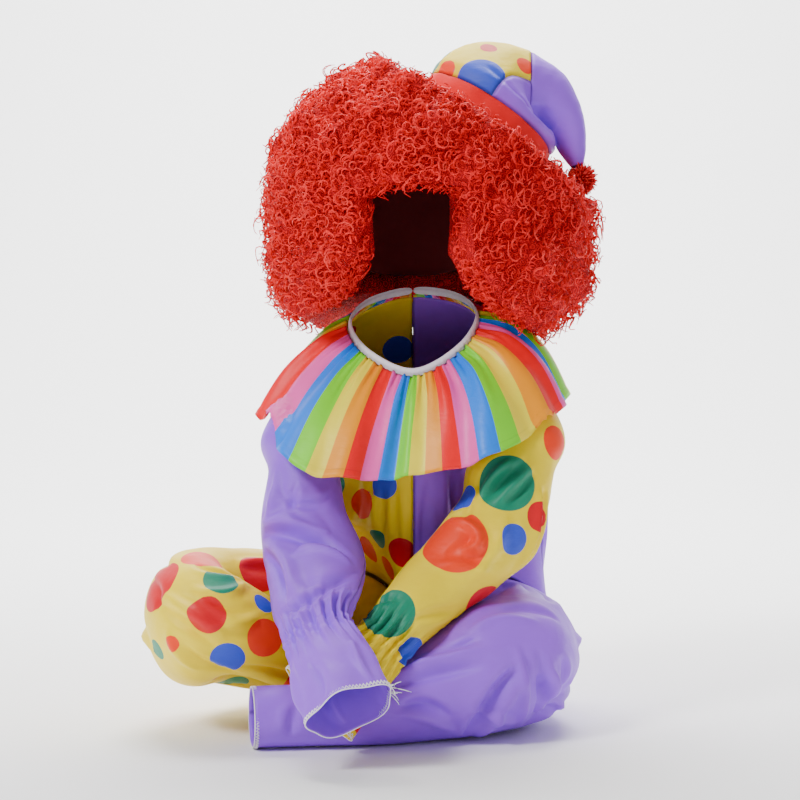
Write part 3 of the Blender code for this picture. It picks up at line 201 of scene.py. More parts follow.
def circle(count):
    """Angles spread evenly round a full turn."""
    return np.linspace(0, 2 * math.pi, count, endpoint=False)


def unit(vectors):
    """Each vector divided by its own length."""
    vectors = np.asarray(vectors, float)
    return vectors / np.maximum(np.linalg.norm(vectors, axis=-1, keepdims=True), 1e-12)


def columns(names, rows):
    """A table as one array for each named column."""
    values = np.array(rows, float)
    return {name: values[:, i] for i, name in enumerate(names)}


def catmull_rom(curves, along):
    """The smooth line through the curves (first axis), read at along, which counts curves from 0."""
    first = 2 * curves[:1] - curves[1:2]
    last = 2 * curves[-1:] - curves[-2:-1]
    padded = np.concatenate([first, curves, last])
    cell = np.clip(np.floor(along).astype(int), 0, len(curves) - 2)
    part = (along - cell)[..., None]
    a, b, c, d = (np.take_along_axis(padded, (cell + i)[None, ..., None], axis=0)[0] for i in range(4))
    return 0.5 * (2 * b + (c - a) * part + (2 * a - 5 * b + 4 * c - d) * part**2 + (3 * b - a - 3 * c + d) * part**3)


def leaned(points):
    """The shoulders lean: above the hips, points on +X rise and points on -X sink."""
    share = smoothstep((points[..., 2] - TILT_FROM) / TILT_OVER)
    out = points.copy()
    out[..., 2] += SHOULDER_TILT * points[..., 0] * share
    return out


def leg_axes(table, side):
    """Each section's centre, its axis to the outside of the leg and its upward axis."""
    yaw, pitch = np.radians(table["yaw"]), np.radians(table["pitch"])
    across = np.stack([-side * np.sin(yaw), side * np.cos(yaw), 0 * yaw], axis=-1)
    aim = np.stack([np.cos(pitch) * np.cos(yaw), np.cos(pitch) * np.sin(yaw), np.sin(pitch)], axis=-1)
    up = unit(np.array([0, 0, 1.0]) - aim * aim[:, 2:])
    centre = np.stack([table["x"], table["y"], table["height"]], axis=-1)
    centre[0] = np.array(CROTCH) + across[0] * table["wide"][0] + [side * SEAM, 0, 0]
    return centre, across, up


def leg_sections(side, around):
    """The leg's section curves at around, which runs 0 to 1 from the crotch over the top to the outside and back."""
    table = columns(LEG_COLUMNS, LEFT_LEG if side > 0 else RIGHT_LEG)
    centre, across, up = leg_axes(table, side)
    angle = 2 * math.pi * around
    out = []
    for i in range(len(centre)):
        out.append(
            centre[i]
            - np.cos(angle)[..., None] * table["wide"][i] * across[i]
            + np.sin(angle)[..., None] * table["tall"][i] * up[i]
        )
    return np.stack(out)


def leg_point(side, around, along):
    """A point of a plain leg: the smooth line through its oval rings, kept above the floor."""
    points = catmull_rom(leg_sections(side, around), along)
    return on_floor(points)


def on_floor(points):
    """Cloth that would sink below the floor lies on it instead, with a soft turn."""
    out = points.copy()
    low = out[..., 2] - FLOOR_CLEAR
    out[..., 2] = FLOOR_CLEAR + 0.5 * (low + np.sqrt(low**2 + 0.002**2)) - 0.001
    out[..., 2] = np.maximum(out[..., 2], FLOOR_CLEAR)
    return out


def resting(points, cloth, lift, spread=0.008):
    """Points that would sink into the cloth below them lie on it instead, at a small lift."""
    cloth = cloth.reshape(-1, 3)
    out = points.copy()
    for k in range(len(out)):
        away = np.linalg.norm(cloth[None, :, :2] - out[k][:, None, :2], axis=-1)
        height = np.where(away < spread, cloth[None, :, 2], -1).max(axis=1)
        out[k][:, 2] = np.maximum(out[k][:, 2], height + lift)
    return out


def trunk_sections(side, around):
    """The trunk's section curves: the leg's own first ring, then each station's line from front to back."""
    curves = [leg_sections(side, around)[0]]
    mirror = np.array([-1, 1, 1])
    for row in TRUNK:
        five = leaned(np.array(row[1:], float) * [side, 1, 1])
        line = np.concatenate([[five[1] * mirror], five, [five[3] * mirror]])
        line = line.reshape((7,) + (1,) * np.ndim(around) + (3,))
        line = np.broadcast_to(line, (7,) + np.shape(around) + (3,))
        curves.append(catmull_rom(line, 1 + 4 * around))
    return np.stack(curves)


def trunk_point(side, around, along):
    """A point of the plain trunk: the smooth line through its stations, kept on its own side of the centre."""
    points = on_floor(catmull_rom(trunk_sections(side, around), along))
    points[..., 0] = side * np.maximum(side * points[..., 0], SEAM / 2)
    return points


def surface_normal(point, side, around, along):
    """Unit normals of a surface given as a function of around and along, turned away from its own inside."""
    step = 0.01
    by_around = point(side, around + step, along) - point(side, around - step, along)
    by_along = point(side, around, along + step) - point(side, around, np.maximum(along - step, 0))
    return unit(np.cross(by_around, by_along)) * side


def armhole_domain(turn):
    """The armhole as an ellipse on the trunk's own grid: turn 0 is the armpit, 0.25 the front edge, 0.5 the top."""
    half = (SHOULDER_STATION - ARMPIT_STATION) / 2
    along = ARMPIT_STATION + half * (1 - np.cos(2 * math.pi * turn))
    swing = np.sin(2 * math.pi * turn)
    around = 0.5 - np.where(swing > 0, ARMHOLE_FRONT, ARMHOLE_BACK) * swing
    return around, along


def armhole_ring(side, turn):
    """The sleeve's first ring, outside and inside: the armhole's edge drawn in by the seam gap."""
    around, along = armhole_domain(turn + SLEEVE_SET)
    edge = trunk_point(side, around, along)
    lining = edge - CLOTH * surface_normal(trunk_point, side, around, along)
    full_around, full_along = armhole_domain(np.linspace(0, 1, 48, endpoint=False))
    middle = trunk_point(side, full_around, full_along).mean(axis=0)
    drawn_in = 2 * SEAM * unit(middle - edge) + 3 * SEAM * surface_normal(trunk_point, side, around, along)
    return edge + drawn_in, lining + drawn_in


def sleeve_sections(side, turn):
    """The sleeve's section curves at turn, which runs 0 to 1 from the underarm seam by the front and over."""
    table = columns(SLEEVE_COLUMNS, LEFT_SLEEVE if side > 0 else RIGHT_SLEEVE)
    lean = np.radians(table["lean"])
    aim = unit(np.stack([table["aim_x"], table["aim_y"], table["aim_z"]], axis=-1))
    hint = np.stack([-side * np.cos(lean), 0 * lean, np.sin(lean)], axis=-1)
    inner = unit(hint - aim * (hint * aim).sum(axis=-1, keepdims=True))
    front = -side * np.cross(aim, inner)
    centre = np.stack([table["x"], table["y"], table["height"]], axis=-1)
    angle = 2 * math.pi * turn
    curves = [armhole_ring(side, turn)[0]]
    for i in range(len(centre)):
        curves.append(
            centre[i]
            + np.cos(angle)[..., None] * table["wide"][i] * inner[i]
            + np.sin(angle)[..., None] * table["deep"][i] * front[i]
        )
    return np.stack(curves)


def cuff_section(side):
    """The number of the section that the elastic gathers."""
    return len(LEFT_SLEEVE) - 2 if side > 0 else len(RIGHT_SLEEVE) - 2


def normals(points, closed):
    """Unit normals of a grid of points, rows along and columns around."""
    along = np.gradient(points, axis=0)
    if closed:
        around = np.roll(points, -1, axis=1) - np.roll(points, 1, axis=1)
    else:
        around = np.gradient(points, axis=1)
    return unit(np.cross(along, around))


def outward(points, closed):
    """The same, turned to point away from the middle of each row."""
    found = normals(points, closed)
    middle = points.mean(axis=1, keepdims=True)
    return found * np.sign((found * (points - middle)).sum())


def sleeve_point(side, turn, along):
    """A point of a plain sleeve: the smooth line through its rings, the armhole's own ring first."""
    return catmull_rom(sleeve_sections(side, turn), along)


print("left knee at", np.round(leg_point(1, np.array([0.5]), np.array([3.0]))[0], 3))

# %% [markdown]
# A grid of points becomes a mesh of four-sided faces. The points carry what the finish needs: a UV map that counts
# metres of cloth, and plain numbers or colours as attributes. The tables count heights from the floor while the
# frame's origin lies in the neck opening, so the neck's height is taken off here, once. The wall of the cloth
# comes from a Solidify modifier that works inwards, which keeps the outside where the solid has it.

# %% Grid to mesh
def lowered(points):
    """Heights above the floor become heights from the neck opening: z minus the neck's height."""
    return np.asarray(points, float) - [0, 0, NECK_HEIGHT]


def new_piece(name, points, faces, material):
    """An object with one smooth mesh of the given points and faces, in one finish."""
    mesh = bpy.data.meshes.new(name)
    mesh.from_pydata(lowered(points).tolist(), [], faces)
    mesh.update()
    mesh.shade_smooth()
    mesh.materials.append(material)
    piece = bpy.data.objects.new(name, mesh)
    bpy.context.scene.collection.objects.link(piece)
    return piece


def grid_piece(name, points, facing, material, closed=False, uv=None, numbers=(), colours=(), wall=0.0009):
    """A mesh of four-sided cells, each from (i, j) by (i, j + 1) and (i + 1, j + 1) to (i + 1, j).

    closed joins the last column to the first. facing tells the outside: cells are turned to agree with it."""
    rows, count = points.shape[:2]
    i, j = np.meshgrid(np.arange(rows - 1), np.arange(count if closed else count - 1), indexing="ij")
    k = (j + 1) % count
    corners = np.stack([i * count + j, i * count + k, (i + 1) * count + k, (i + 1) * count + j], axis=-1)
    corners = corners.reshape(-1, 4)
    uv_corners = None if uv is None else np.stack([uv[i, j], uv[i, j + 1], uv[i + 1, j + 1], uv[i + 1, j]], axis=2)
    flat = points.reshape(-1, 3)
    across = np.cross(flat[corners[:, 2]] - flat[corners[:, 0]], flat[corners[:, 3]] - flat[corners[:, 1]])
    turned = (across * facing.reshape(-1, 3)[corners[:, 0]]).sum() < 0
    if turned:
        corners = corners[:, ::-1]
    piece = new_piece(name, flat, corners.tolist(), material)
    mesh = piece.data
    if uv is not None:
        uv_corners = uv_corners.reshape(-1, 4, 2)
        layer = mesh.uv_layers.new(name="cloth")
        layer.uv.foreach_set("vector", (uv_corners[:, ::-1] if turned else uv_corners).ravel())
    for key, value in dict(numbers).items():
        mesh.attributes.new(key, "FLOAT", "POINT").data.foreach_set("value", np.asarray(value, float).ravel())
    for key, value in dict(colours).items():
        value = np.concatenate([value, np.ones(value.shape[:-1] + (1,))], axis=-1)
        mesh.color_attributes.new(key, "FLOAT_COLOR", "POINT").data.foreach_set("color", value.ravel())
    if wall:
        shell = piece.modifiers.new("wall", "SOLIDIFY")
        shell.thickness = wall
        shell.offset = -1
    return piece


def cloth_uv(points, closed=False):
    """A UV map in metres: the mean distance walked round the grid, and the mean distance walked along it."""
    ringed = np.concatenate([points, points[:, :1]], axis=1) if closed else points
    round_steps = np.linalg.norm(np.diff(ringed, axis=1), axis=-1).mean(axis=0)
    long_steps = np.linalg.norm(np.diff(points, axis=0), axis=-1).mean(axis=1)
    u, v = np.concatenate([[0], np.cumsum(round_steps)]), np.concatenate([[0], np.cumsum(long_steps)])
    return np.stack(np.meshgrid(u, v), axis=-1)


def worn(piece, nodes, slot, points=None, closed=False, held="draped", rests_on=()):
    """The piece rides on the body and stands for its solids, which are hidden.

    slot is not used. the width is the grid's mean way round, the length its mean way along, and the area
    the grid's own."""
    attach(piece, "root")
    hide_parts(*nodes)
    if points is None:
        return

# %% [markdown]
# Thin polyester satin folds where it has too much cloth: at the bent elbow, behind the knee, under the collar and
# where one limb lies on another. A simulation would give folds, but never these folds. Here each main fold is one
# row of a table: a line of three points on the piece, how wide it is and how high, in millimetres. A height below
# zero is a hollow. No two rows are alike in length, depth or spacing, because real folds never repeat. The same
# kind of row goes on the sides that the camera doesn't see.

# %% Folds as table rows
# The largest folds of the cloth, where limbs bend and rest. Each runs through three points of its piece's own grid.
# half is half its width and high is how far it stands out, in millimetres, where below zero is a hollow.
LARGE_FOLDS = {
    # turn and along of the start, of the middle and of the end, half, high
    "right_sleeve": (
        (0.351, 2.50, 0.244, 3.08, 0.114, 2.68, 5, -2.6), (0.441, 3.40, 0.294, 3.56, 0.181, 3.98, 7, 3.6),
        (0.438, 3.72, 0.278, 4.14, 0.114, 5.10, 6, -4.0), (0.435, 4.14, 0.371, 5.26, 0.348, 6.13, 6, -4.4),
        (0.268, 5.84, 0.157, 6.08, 0.037, 5.34, 6, -2.6), (0.620, 3.20, 0.750, 3.60, 0.880, 3.90, 7, -3.4),
        (0.600, 5.00, 0.720, 5.40, 0.880, 5.20, 6, 3.0), (0.550, 2.20, 0.600, 3.00, 0.580, 3.90, 6, -2.6),
    ),
    "left_sleeve": (
        (0.375, 2.63, 0.400, 3.75, 0.470, 4.80, 5, 3.2), (0.405, 2.68, 0.440, 3.70, 0.520, 4.63, 5, -3.0),
        (0.147, 5.13, 0.214, 5.16, 0.171, 5.66, 5, -3.0), (0.174, 3.57, 0.214, 2.74, 0.301, 2.01, 4, -2.4),
        (0.620, 2.20, 0.660, 3.20, 0.600, 4.30, 7, -3.2), (0.750, 4.60, 0.680, 5.40, 0.600, 6.20, 6, 3.0),
        (0.850, 3.00, 0.920, 3.80, 0.880, 4.60, 6, -2.6),
    ),
    "left_leg": (
        (0.341, 5.92, 0.371, 4.97, 0.418, 4.11, 7, 3.0), (0.679, 4.69, 0.548, 4.24, 0.475, 3.74, 6, -4.0),
        (0.712, 4.31, 0.565, 3.96, 0.498, 3.59, 7, 3.0), (0.502, 3.46, 0.545, 3.31, 0.599, 3.18, 5, -3.0),
        (0.475, 5.82, 0.495, 5.34, 0.569, 4.94, 5, -2.6), (0.620, 1.30, 0.560, 2.00, 0.600, 2.70, 8, -3.2),
        (0.200, 1.20, 0.260, 2.00, 0.220, 2.90, 7, 2.6), (0.880, 4.20, 0.930, 5.00, 0.900, 5.90, 6, -2.6),
    ),
    "right_leg": (
        (0.438, 4.67, 0.485, 5.34, 0.552, 5.79, 5, -2.4), (0.365, 6.35, 0.415, 6.00, 0.391, 5.55, 5, -2.4),
        (0.538, 5.23, 0.619, 5.58, 0.682, 6.19, 5, -2.2), (0.500, 1.20, 0.560, 2.20, 0.520, 3.30, 8, -3.4),
        (0.620, 1.40, 0.660, 2.30, 0.640, 3.40, 7, 3.0), (0.200, 0.90, 0.300, 1.60, 0.280, 2.60, 7, -2.8),
        (0.850, 5.80, 0.900, 6.50, 0.850, 7.30, 6, -2.8),
    ),
    "front_left_panel": (
        (0.188, 3.89, 0.193, 3.25, 0.198, 2.60, 5, -2.6), (0.148, 3.84, 0.148, 3.11, 0.158, 2.22, 6, 2.0),
    ),
    "front_right_panel": (
        (0.141, 3.54, 0.151, 2.88, 0.141, 1.87, 5, -2.0), (0.300, 3.40, 0.290, 2.70, 0.310, 1.90, 6, 2.0),
    ),
    "back_left_panel": (
        (0.640, 1.40, 0.680, 2.40, 0.660, 3.60, 8, -3.2), (0.760, 1.20, 0.790, 2.20, 0.770, 3.20, 7, 2.6),
        (0.860, 2.40, 0.840, 3.30, 0.880, 4.30, 7, -2.6),
    ),
    "back_right_panel": (
        (0.660, 1.30, 0.640, 2.20, 0.680, 3.30, 8, 2.8), (0.740, 1.60, 0.720, 2.60, 0.760, 3.90, 7, -3.2),
        (0.840, 1.10, 0.870, 2.00, 0.850, 2.90, 7, -2.6),
    ),
}


def fold_relief(points, facing, surface, rows):
    """How far folds lift the cloth at each point, in metres.

    A fold's line is the curve through its three points on the surface. Across it the lift is a bell, high times e
    to the minus (distance / half) squared, with a shallow hollow of the other sign at 2.2 half widths on one side.
    Along it the lift and the width taper to the ends."""
    out = np.zeros(points.shape[:-1])
    whole, flat, normal = out.reshape(-1), points.reshape(-1, 3), facing.reshape(-1, 3)
    share = np.linspace(0, 1, 13)
    for u1, v1, u2, v2, u3, v3, half, high in rows:
        first, middle, last = (1 - share) * (1 - 2 * share), 4 * share * (1 - share), share * (2 * share - 1)
        line = surface(first * u1 + middle * u2 + last * u3, first * v1 + middle * v2 + last * v3)
        start, step = line[:-1], np.diff(line, axis=0)
        reach = np.linalg.norm(line - line[6], axis=-1).max() + 0.03
        near = np.linalg.norm(flat - line[6], axis=-1) < reach
        rest = flat[near][:, None] - start
        part = np.clip((rest * step).sum(axis=-1) / (step * step).sum(axis=-1), 0, 1)
        away = rest - part[..., None] * step
        nearest = np.linalg.norm(away, axis=-1).argmin(axis=1)
        row = np.arange(len(nearest))
        part, away = (part[row, nearest] + nearest) / len(start), away[row, nearest]
        side = np.sign((np.cross(normal[near], step[nearest]) * away).sum(axis=-1))
        taper = np.sin(math.pi * part) ** 0.7
        wide = half / 1000 * (0.45 + 0.55 * taper)
        across = side * np.linalg.norm(away, axis=-1) / wide
        bell = np.exp(-(across**2)) - 0.35 * np.exp(-((across - 2.2) ** 2) / 1.4)
        whole[near] += high / 1000 * taper * bell
    return out


def folded_leg(side, turn, along):
    """The leg's outside with its largest folds, which start below the groin seam and stay above the floor."""
    plain = leg_point(side, turn, along)
    facing = -surface_normal(leg_point, side, turn, along)
    rows = LARGE_FOLDS["left_leg" if side > 0 else "right_leg"]
    lift = fold_relief(plain, facing, lambda u, v: leg_point(side, u, v), rows) * smoothstep(along / 0.9)
    return on_floor(plain + lift[..., None] * facing)


def folded_sleeve(side, turn, along):
    """The sleeve's outside with its largest folds, which start below the armhole."""
    plain = sleeve_point(side, turn, along)
    facing = outward(plain, True)
    rows = LARGE_FOLDS["left_sleeve" if side > 0 else "right_sleeve"]
    lift = fold_relief(plain, facing, lambda u, v: sleeve_point(side, u, v), rows) * smoothstep(along / 0.9)
    return plain + lift[..., None] * facing


def folded_panel(name, side, around, along):
    """A trunk panel's outside with its largest folds, which die away towards all of its seams."""
    plain = trunk_point(side, around, along)
    facing = surface_normal(trunk_point, side, around, along)
    share = np.linspace(0, 1, around.shape[1])
    inland = smoothstep(share / 0.25) * smoothstep((1 - share) / 0.25)
    inland = inland * smoothstep(along / 0.9) * smoothstep((NECK_STATION - along) / 0.8)
    lift = fold_relief(plain, facing, lambda u, v: trunk_point(side, u, v), LARGE_FOLDS[name]) * inland
    return plain + lift[..., None] * facing


def rumple(points, size, seed):
    """Low uneven waves: a sum of seven sines of different slant and phase over the place in space, from -1 to 1."""
    random = np.random.default_rng(seed)
    total = np.zeros(points.shape[:-1])
    for k in range(7):
        slant = random.normal(size=3)
        slant *= 2 * math.pi / (size * (0.6 + 0.25 * k)) / np.linalg.norm(slant)
        total += np.sin(points @ slant + random.uniform(0, 6.3) + 1.3 * np.sin(points[..., 2] * 0.7 * slant[0]))
    return total / 7


SMALL_FOLDS = {
    # the same columns
    "right_sleeve": (
        (0.298, 3.13, 0.244, 3.64, 0.187, 3.82, 4, -2.0), (0.301, 4.94, 0.231, 4.78, 0.084, 5.44, 5, 2.4),
        (0.375, 4.19, 0.318, 5.52, 0.278, 6.40, 6, 2.2), (0.398, 6.27, 0.237, 6.45, 0.017, 5.63, 4, -2.2),
        (0.351, 6.74, 0.187, 6.69, -0.007, 6.03, 3, 1.6), (0.388, 2.12, 0.378, 2.87, 0.421, 3.32, 5, 1.8),
        (0.274, 2.52, 0.291, 2.87, 0.308, 3.27, 4, -1.6), (0.520, 5.30, 0.560, 5.90, 0.540, 6.50, 4, -2.0),
        (0.700, 2.30, 0.760, 2.70, 0.860, 2.60, 4, 1.8), (0.640, 4.10, 0.760, 4.50, 0.900, 4.60, 4, -2.0),
        (0.700, 6.00, 0.820, 6.20, 0.920, 6.00, 4, -1.8), (0.320, 7.90, 0.300, 8.40, 0.310, 8.90, 4, -1.8),
        (0.120, 7.80, 0.140, 8.30, 0.110, 8.90, 4, 1.8), (0.450, 7.70, 0.470, 8.20, 0.440, 8.80, 4, 1.6),
        (0.700, 7.80, 0.680, 8.30, 0.710, 8.80, 4, -1.8),
    ),
    "left_sleeve": (
        (0.151, 3.33, 0.184, 2.63, 0.247, 2.01, 4, 2.0), (0.211, 3.54, 0.258, 2.92, 0.321, 2.15, 4, 1.7),
        (0.254, 3.48, 0.298, 2.92, 0.348, 2.18, 4, -1.9), (0.080, 5.01, 0.244, 5.04, 0.204, 5.66, 5, 2.2),
        (0.184, 5.75, 0.237, 5.49, 0.308, 5.34, 4, -1.8), (0.181, 6.05, 0.271, 5.60, 0.401, 5.07, 5, 2.0),
        (0.398, 6.17, 0.344, 6.61, 0.284, 7.17, 4, -2.0), (0.164, 7.11, 0.070, 7.32, -0.023, 7.55, 4, -1.6),
        (0.258, 3.69, 0.304, 4.75, 0.341, 5.72, 6, 1.6), (0.100, 3.54, 0.127, 4.28, 0.070, 4.81, 5, -1.8),
        (0.560, 5.20, 0.640, 5.60, 0.760, 5.70, 4, -2.0), (0.640, 3.20, 0.700, 3.80, 0.800, 3.90, 4, 2.0),
        (0.880, 5.60, 0.940, 6.20, 0.900, 6.80, 4, -1.8), (0.200, 8.60, 0.220, 9.20, 0.190, 9.80, 4, -1.8),
        (0.650, 8.60, 0.620, 9.10, 0.660, 9.80, 4, 1.8),
    ),
    "left_leg": (
        (0.381, 5.89, 0.421, 4.97, 0.448, 4.21, 5, -2.4), (0.495, 3.26, 0.535, 3.11, 0.579, 3.08, 4, 2.0),
        (0.472, 3.03, 0.505, 2.91, 0.545, 2.93, 4, -2.0), (0.498, 5.94, 0.545, 5.39, 0.639, 4.87, 5, 2.0),
        (0.629, 6.77, 0.518, 6.70, 0.441, 6.62, 4, -1.8), (0.589, 7.05, 0.495, 7.05, 0.428, 6.97, 4, 1.8),
        (0.582, 7.50, 0.488, 7.47, 0.408, 7.37, 4, -1.8), (0.318, 3.69, 0.331, 3.11, 0.395, 2.63, 5, -1.8),
        (0.344, 4.31, 0.344, 3.79, 0.378, 3.16, 5, 1.8), (0.348, 5.22, 0.371, 4.71, 0.371, 4.24, 4, -1.8),
        (0.560, 4.60, 0.600, 4.10, 0.640, 3.60, 4, 1.8), (0.640, 2.30, 0.600, 2.80, 0.640, 3.30, 4, 2.0),
        (0.130, 0.80, 0.180, 1.50, 0.150, 2.30, 5, -2.0), (0.300, 0.90, 0.340, 1.60, 0.330, 2.30, 5, -2.0),
        (0.450, 0.80, 0.470, 1.40, 0.460, 2.10, 5, 2.0), (0.860, 1.20, 0.900, 2.10, 0.870, 3.00, 5, 2.0),
        (0.418, 3.72, 0.530, 3.66, 0.650, 3.50, 4, 2.6), (0.440, 3.40, 0.540, 3.36, 0.650, 3.22, 5, -3.0),
        (0.560, 2.50, 0.600, 2.90, 0.680, 3.16, 15, -3.8),
    ),
    "right_leg": (
        (0.411, 4.81, 0.455, 5.47, 0.518, 5.97, 5, 2.0), (0.200, 5.90, 0.268, 5.50, 0.284, 4.94, 4, -2.2),
        (0.250, 6.10, 0.361, 5.89, 0.375, 5.26, 4, 1.8), (0.408, 6.35, 0.465, 6.08, 0.475, 5.73, 4, 1.9),
        (0.505, 5.02, 0.569, 5.15, 0.645, 5.42, 5, 1.8), (0.398, 4.04, 0.418, 4.62, 0.472, 4.70, 4, -1.8),
        (0.300, 3.10, 0.350, 3.70, 0.330, 4.40, 5, -2.0), (0.560, 3.40, 0.540, 4.00, 0.580, 4.50, 5, 2.0),
        (0.420, 0.80, 0.440, 1.60, 0.430, 2.60, 5, -2.0), (0.740, 1.00, 0.780, 1.90, 0.760, 2.90, 5, -2.0),
        (0.120, 1.40, 0.160, 2.30, 0.140, 3.20, 5, 2.0), (0.620, 6.20, 0.600, 6.90, 0.640, 7.60, 4, -2.0),
        (0.350, 6.80, 0.330, 7.50, 0.360, 8.20, 4, 1.8), (0.860, 3.20, 0.900, 3.90, 0.880, 4.60, 5, 1.8),
    ),
    "front_left_panel": (
        (0.080, 3.68, 0.050, 2.83, 0.040, 2.13, 6, -1.4), (0.260, 4.00, 0.250, 3.10, 0.270, 2.20, 4, -1.8),
        (0.380, 3.40, 0.400, 2.40, 0.380, 1.30, 5, 2.0), (0.440, 3.20, 0.450, 2.20, 0.440, 1.20, 4, -2.0),
    ),
    "front_right_panel": (
        (0.178, 3.39, 0.186, 2.79, 0.183, 1.66, 4, 1.6), (0.260, 3.80, 0.250, 3.00, 0.270, 2.10, 4, -1.8),
        (0.400, 3.30, 0.390, 2.30, 0.410, 1.30, 5, -2.0), (0.080, 3.60, 0.090, 2.90, 0.070, 2.20, 4, -1.2),
    ),
    "back_left_panel": (
        (0.580, 0.90, 0.690, 1.10, 0.820, 1.00, 6, -2.2), (0.600, 2.00, 0.720, 2.20, 0.860, 1.90, 5, 1.8),
        (0.590, 3.90, 0.600, 3.20, 0.580, 2.50, 4, 1.8), (0.700, 4.00, 0.690, 4.70, 0.720, 5.40, 5, -1.8),
        (0.900, 1.30, 0.930, 2.00, 0.910, 2.80, 4, 1.6),
    ),
    "back_right_panel": (
        (0.570, 1.10, 0.680, 0.90, 0.820, 1.20, 6, -2.2), (0.600, 2.30, 0.710, 2.00, 0.850, 2.20, 5, -1.8),
        (0.580, 3.70, 0.600, 3.00, 0.590, 2.30, 4, -1.8), (0.720, 4.20, 0.740, 4.90, 0.710, 5.50, 5, 1.8),
        (0.930, 1.60, 0.910, 2.40, 0.930, 3.20, 4, -1.6),
    ),
}


SMALL_HIGHER = 2.3
LARGE_NARROWER = 0.70


def deepened(name):
    """The rows of one piece for the cloth: small folds 2.3 times as high, and each large fold once more, narrower."""
    small = [row[:7] + (SMALL_HIGHER * row[7],) for row in SMALL_FOLDS[name]]
    return small + [row[:6] + (LARGE_NARROWER * row[6], row[7]) for row in LARGE_FOLDS[name]]


print("folds on each piece:", {name: len(rows) + len(LARGE_FOLDS[name]) for name, rows in SMALL_FOLDS.items()})

# %% [markdown]
# The cloth is thin polyester satin: bright, a little shiny, with a weave too fine to count. Three effects are used
# by several finishes, so each is a node group that is built once. One gives the fine crumple and weave as a
# height. One gives a mask of slightly faded and slightly deeper areas, because dyed cloth is never quite even. One
# turns the distance to a seam into a narrow sunk line, which also darkens the colour there as painted shade.

# %% Shader helpers
def add_node(tree, kind, options=(), **sockets):
    """A node with its options set. Each named socket gets a number, a colour, or another node's output."""
    made = tree.nodes.new(kind)
    for key, value in dict(options).items():
        setattr(made, key, value)
    for key, value in sockets.items():
        socket = made.inputs[int(key[1:]) if key[0] == "n" and key[1:].isdigit() else key.replace("_", " ")]
        if isinstance(value, bpy.types.NodeSocket):
            tree.links.new(value, socket)
        else:
            socket.default_value = value
    return made


def blended(tree, share, first, second, how="MIX"):
    """The colour that lies the given share of the way from the first to the second."""
    options = {"data_type": "RGBA", "blend_type": how}
    return add_node(tree, "ShaderNodeMix", options, n0=share, n6=first, n7=second).outputs[2]


def maths(tree, operation, *values):
    """A Math node: each value is a number or another node's output."""
    sockets = {f"n{k}": value for k, value in enumerate(values)}
    return add_node(tree, "ShaderNodeMath", {"operation": operation}, **sockets).outputs[0]


def sum_of(tree, *terms):
    """Each term is a socket and its weight: the weighted terms added up."""
    total = 0.0
    for socket, weight in terms:
        total = maths(tree, "MULTIPLY_ADD", socket, weight, total)
    return total


def attribute(tree, name, output="Fac"):
    """A value that the mesh carries at its points."""
    return add_node(tree, "ShaderNodeAttribute", {"attribute_name": name}).outputs[output]


def new_group(name, inputs, outputs):
    """An empty node group with its sockets, each given as a name, a kind and, for an input, a value."""
    tree = bpy.data.node_groups.new(name, "ShaderNodeTree")
    for key, kind, value in inputs:
        tree.interface.new_socket(key, in_out="INPUT", socket_type=kind).default_value = value
    for key, kind in outputs:
        tree.interface.new_socket(key, in_out="OUTPUT", socket_type=kind)
    return tree, tree.nodes.new("NodeGroupInput").outputs, tree.nodes.new("NodeGroupOutput").inputs


def place_group(tree, group, **sockets):
    """A group set into a material with its own values."""
    return add_node(tree, "ShaderNodeGroup", {"node_tree": group}, **sockets).outputs


FLOAT = "NodeSocketFloat"
satin_height, given, result = new_group(
    "satin_height", [("Crumple Scale", FLOAT, 30.0), ("Weave Scale", FLOAT, 1500.0)], [("Height", FLOAT)]
)
place = add_node(satin_height, "ShaderNodeTexCoord").outputs["Object"]
soft = add_node(satin_height, "ShaderNodeTexNoise", Vector=place, Scale=given[0], Detail=2.0, Distortion=0.7)
stretched = add_node(satin_height, "ShaderNodeMapping", Vector=place, Scale=(1.0, 1.0, 3.2), Rotation=(0.5, 0.3, 0.2))
fine_scale = maths(satin_height, "MULTIPLY", given[0], 2.6)
fine = add_node(satin_height, "ShaderNodeTexNoise", Vector=stretched.outputs[0], Scale=fine_scale, Detail=3.0)
weft = add_node(satin_height, "ShaderNodeTexNoise", Vector=place, Scale=given[1], Detail=1.0)
total = sum_of(satin_height, (soft.outputs[0], 0.75), (fine.outputs[0], 0.28), (weft.outputs[0], 0.035))
satin_height.links.new(total, result[0])

dye_wear, given, result = new_group("dye_wear", [("Scale", FLOAT, 9.0)], [("Deeper", FLOAT)])
place = add_node(dye_wear, "ShaderNodeTexCoord").outputs["Object"]
patches = add_node(dye_wear, "ShaderNodeTexNoise", Vector=place, Scale=given[0], Detail=4.0, Roughness=0.6)
ramp = add_node(dye_wear, "ShaderNodeMapRange", n0=patches.outputs[0], n1=0.35, n2=0.7)
dye_wear.links.new(ramp.outputs[0], result[0])

# The seam's depth sinks the bump and also darkens the colour towards near black: painted shade in the seam.
seam_groove_and_shade, given, result = new_group("seam_groove_and_shade", [("Half Width", FLOAT, 0.0016)], [("Depth", FLOAT)])
share = maths(seam_groove_and_shade, "DIVIDE", attribute(seam_groove_and_shade, "seam_distance"), given[0])
square = maths(seam_groove_and_shade, "POWER", share, 2.0)
depth = maths(seam_groove_and_shade, "EXPONENT", maths(seam_groove_and_shade, "MULTIPLY", square, -1.0))
seam_groove_and_shade.links.new(depth, result[0])
print("node groups:", [group.name for group in bpy.data.node_groups])
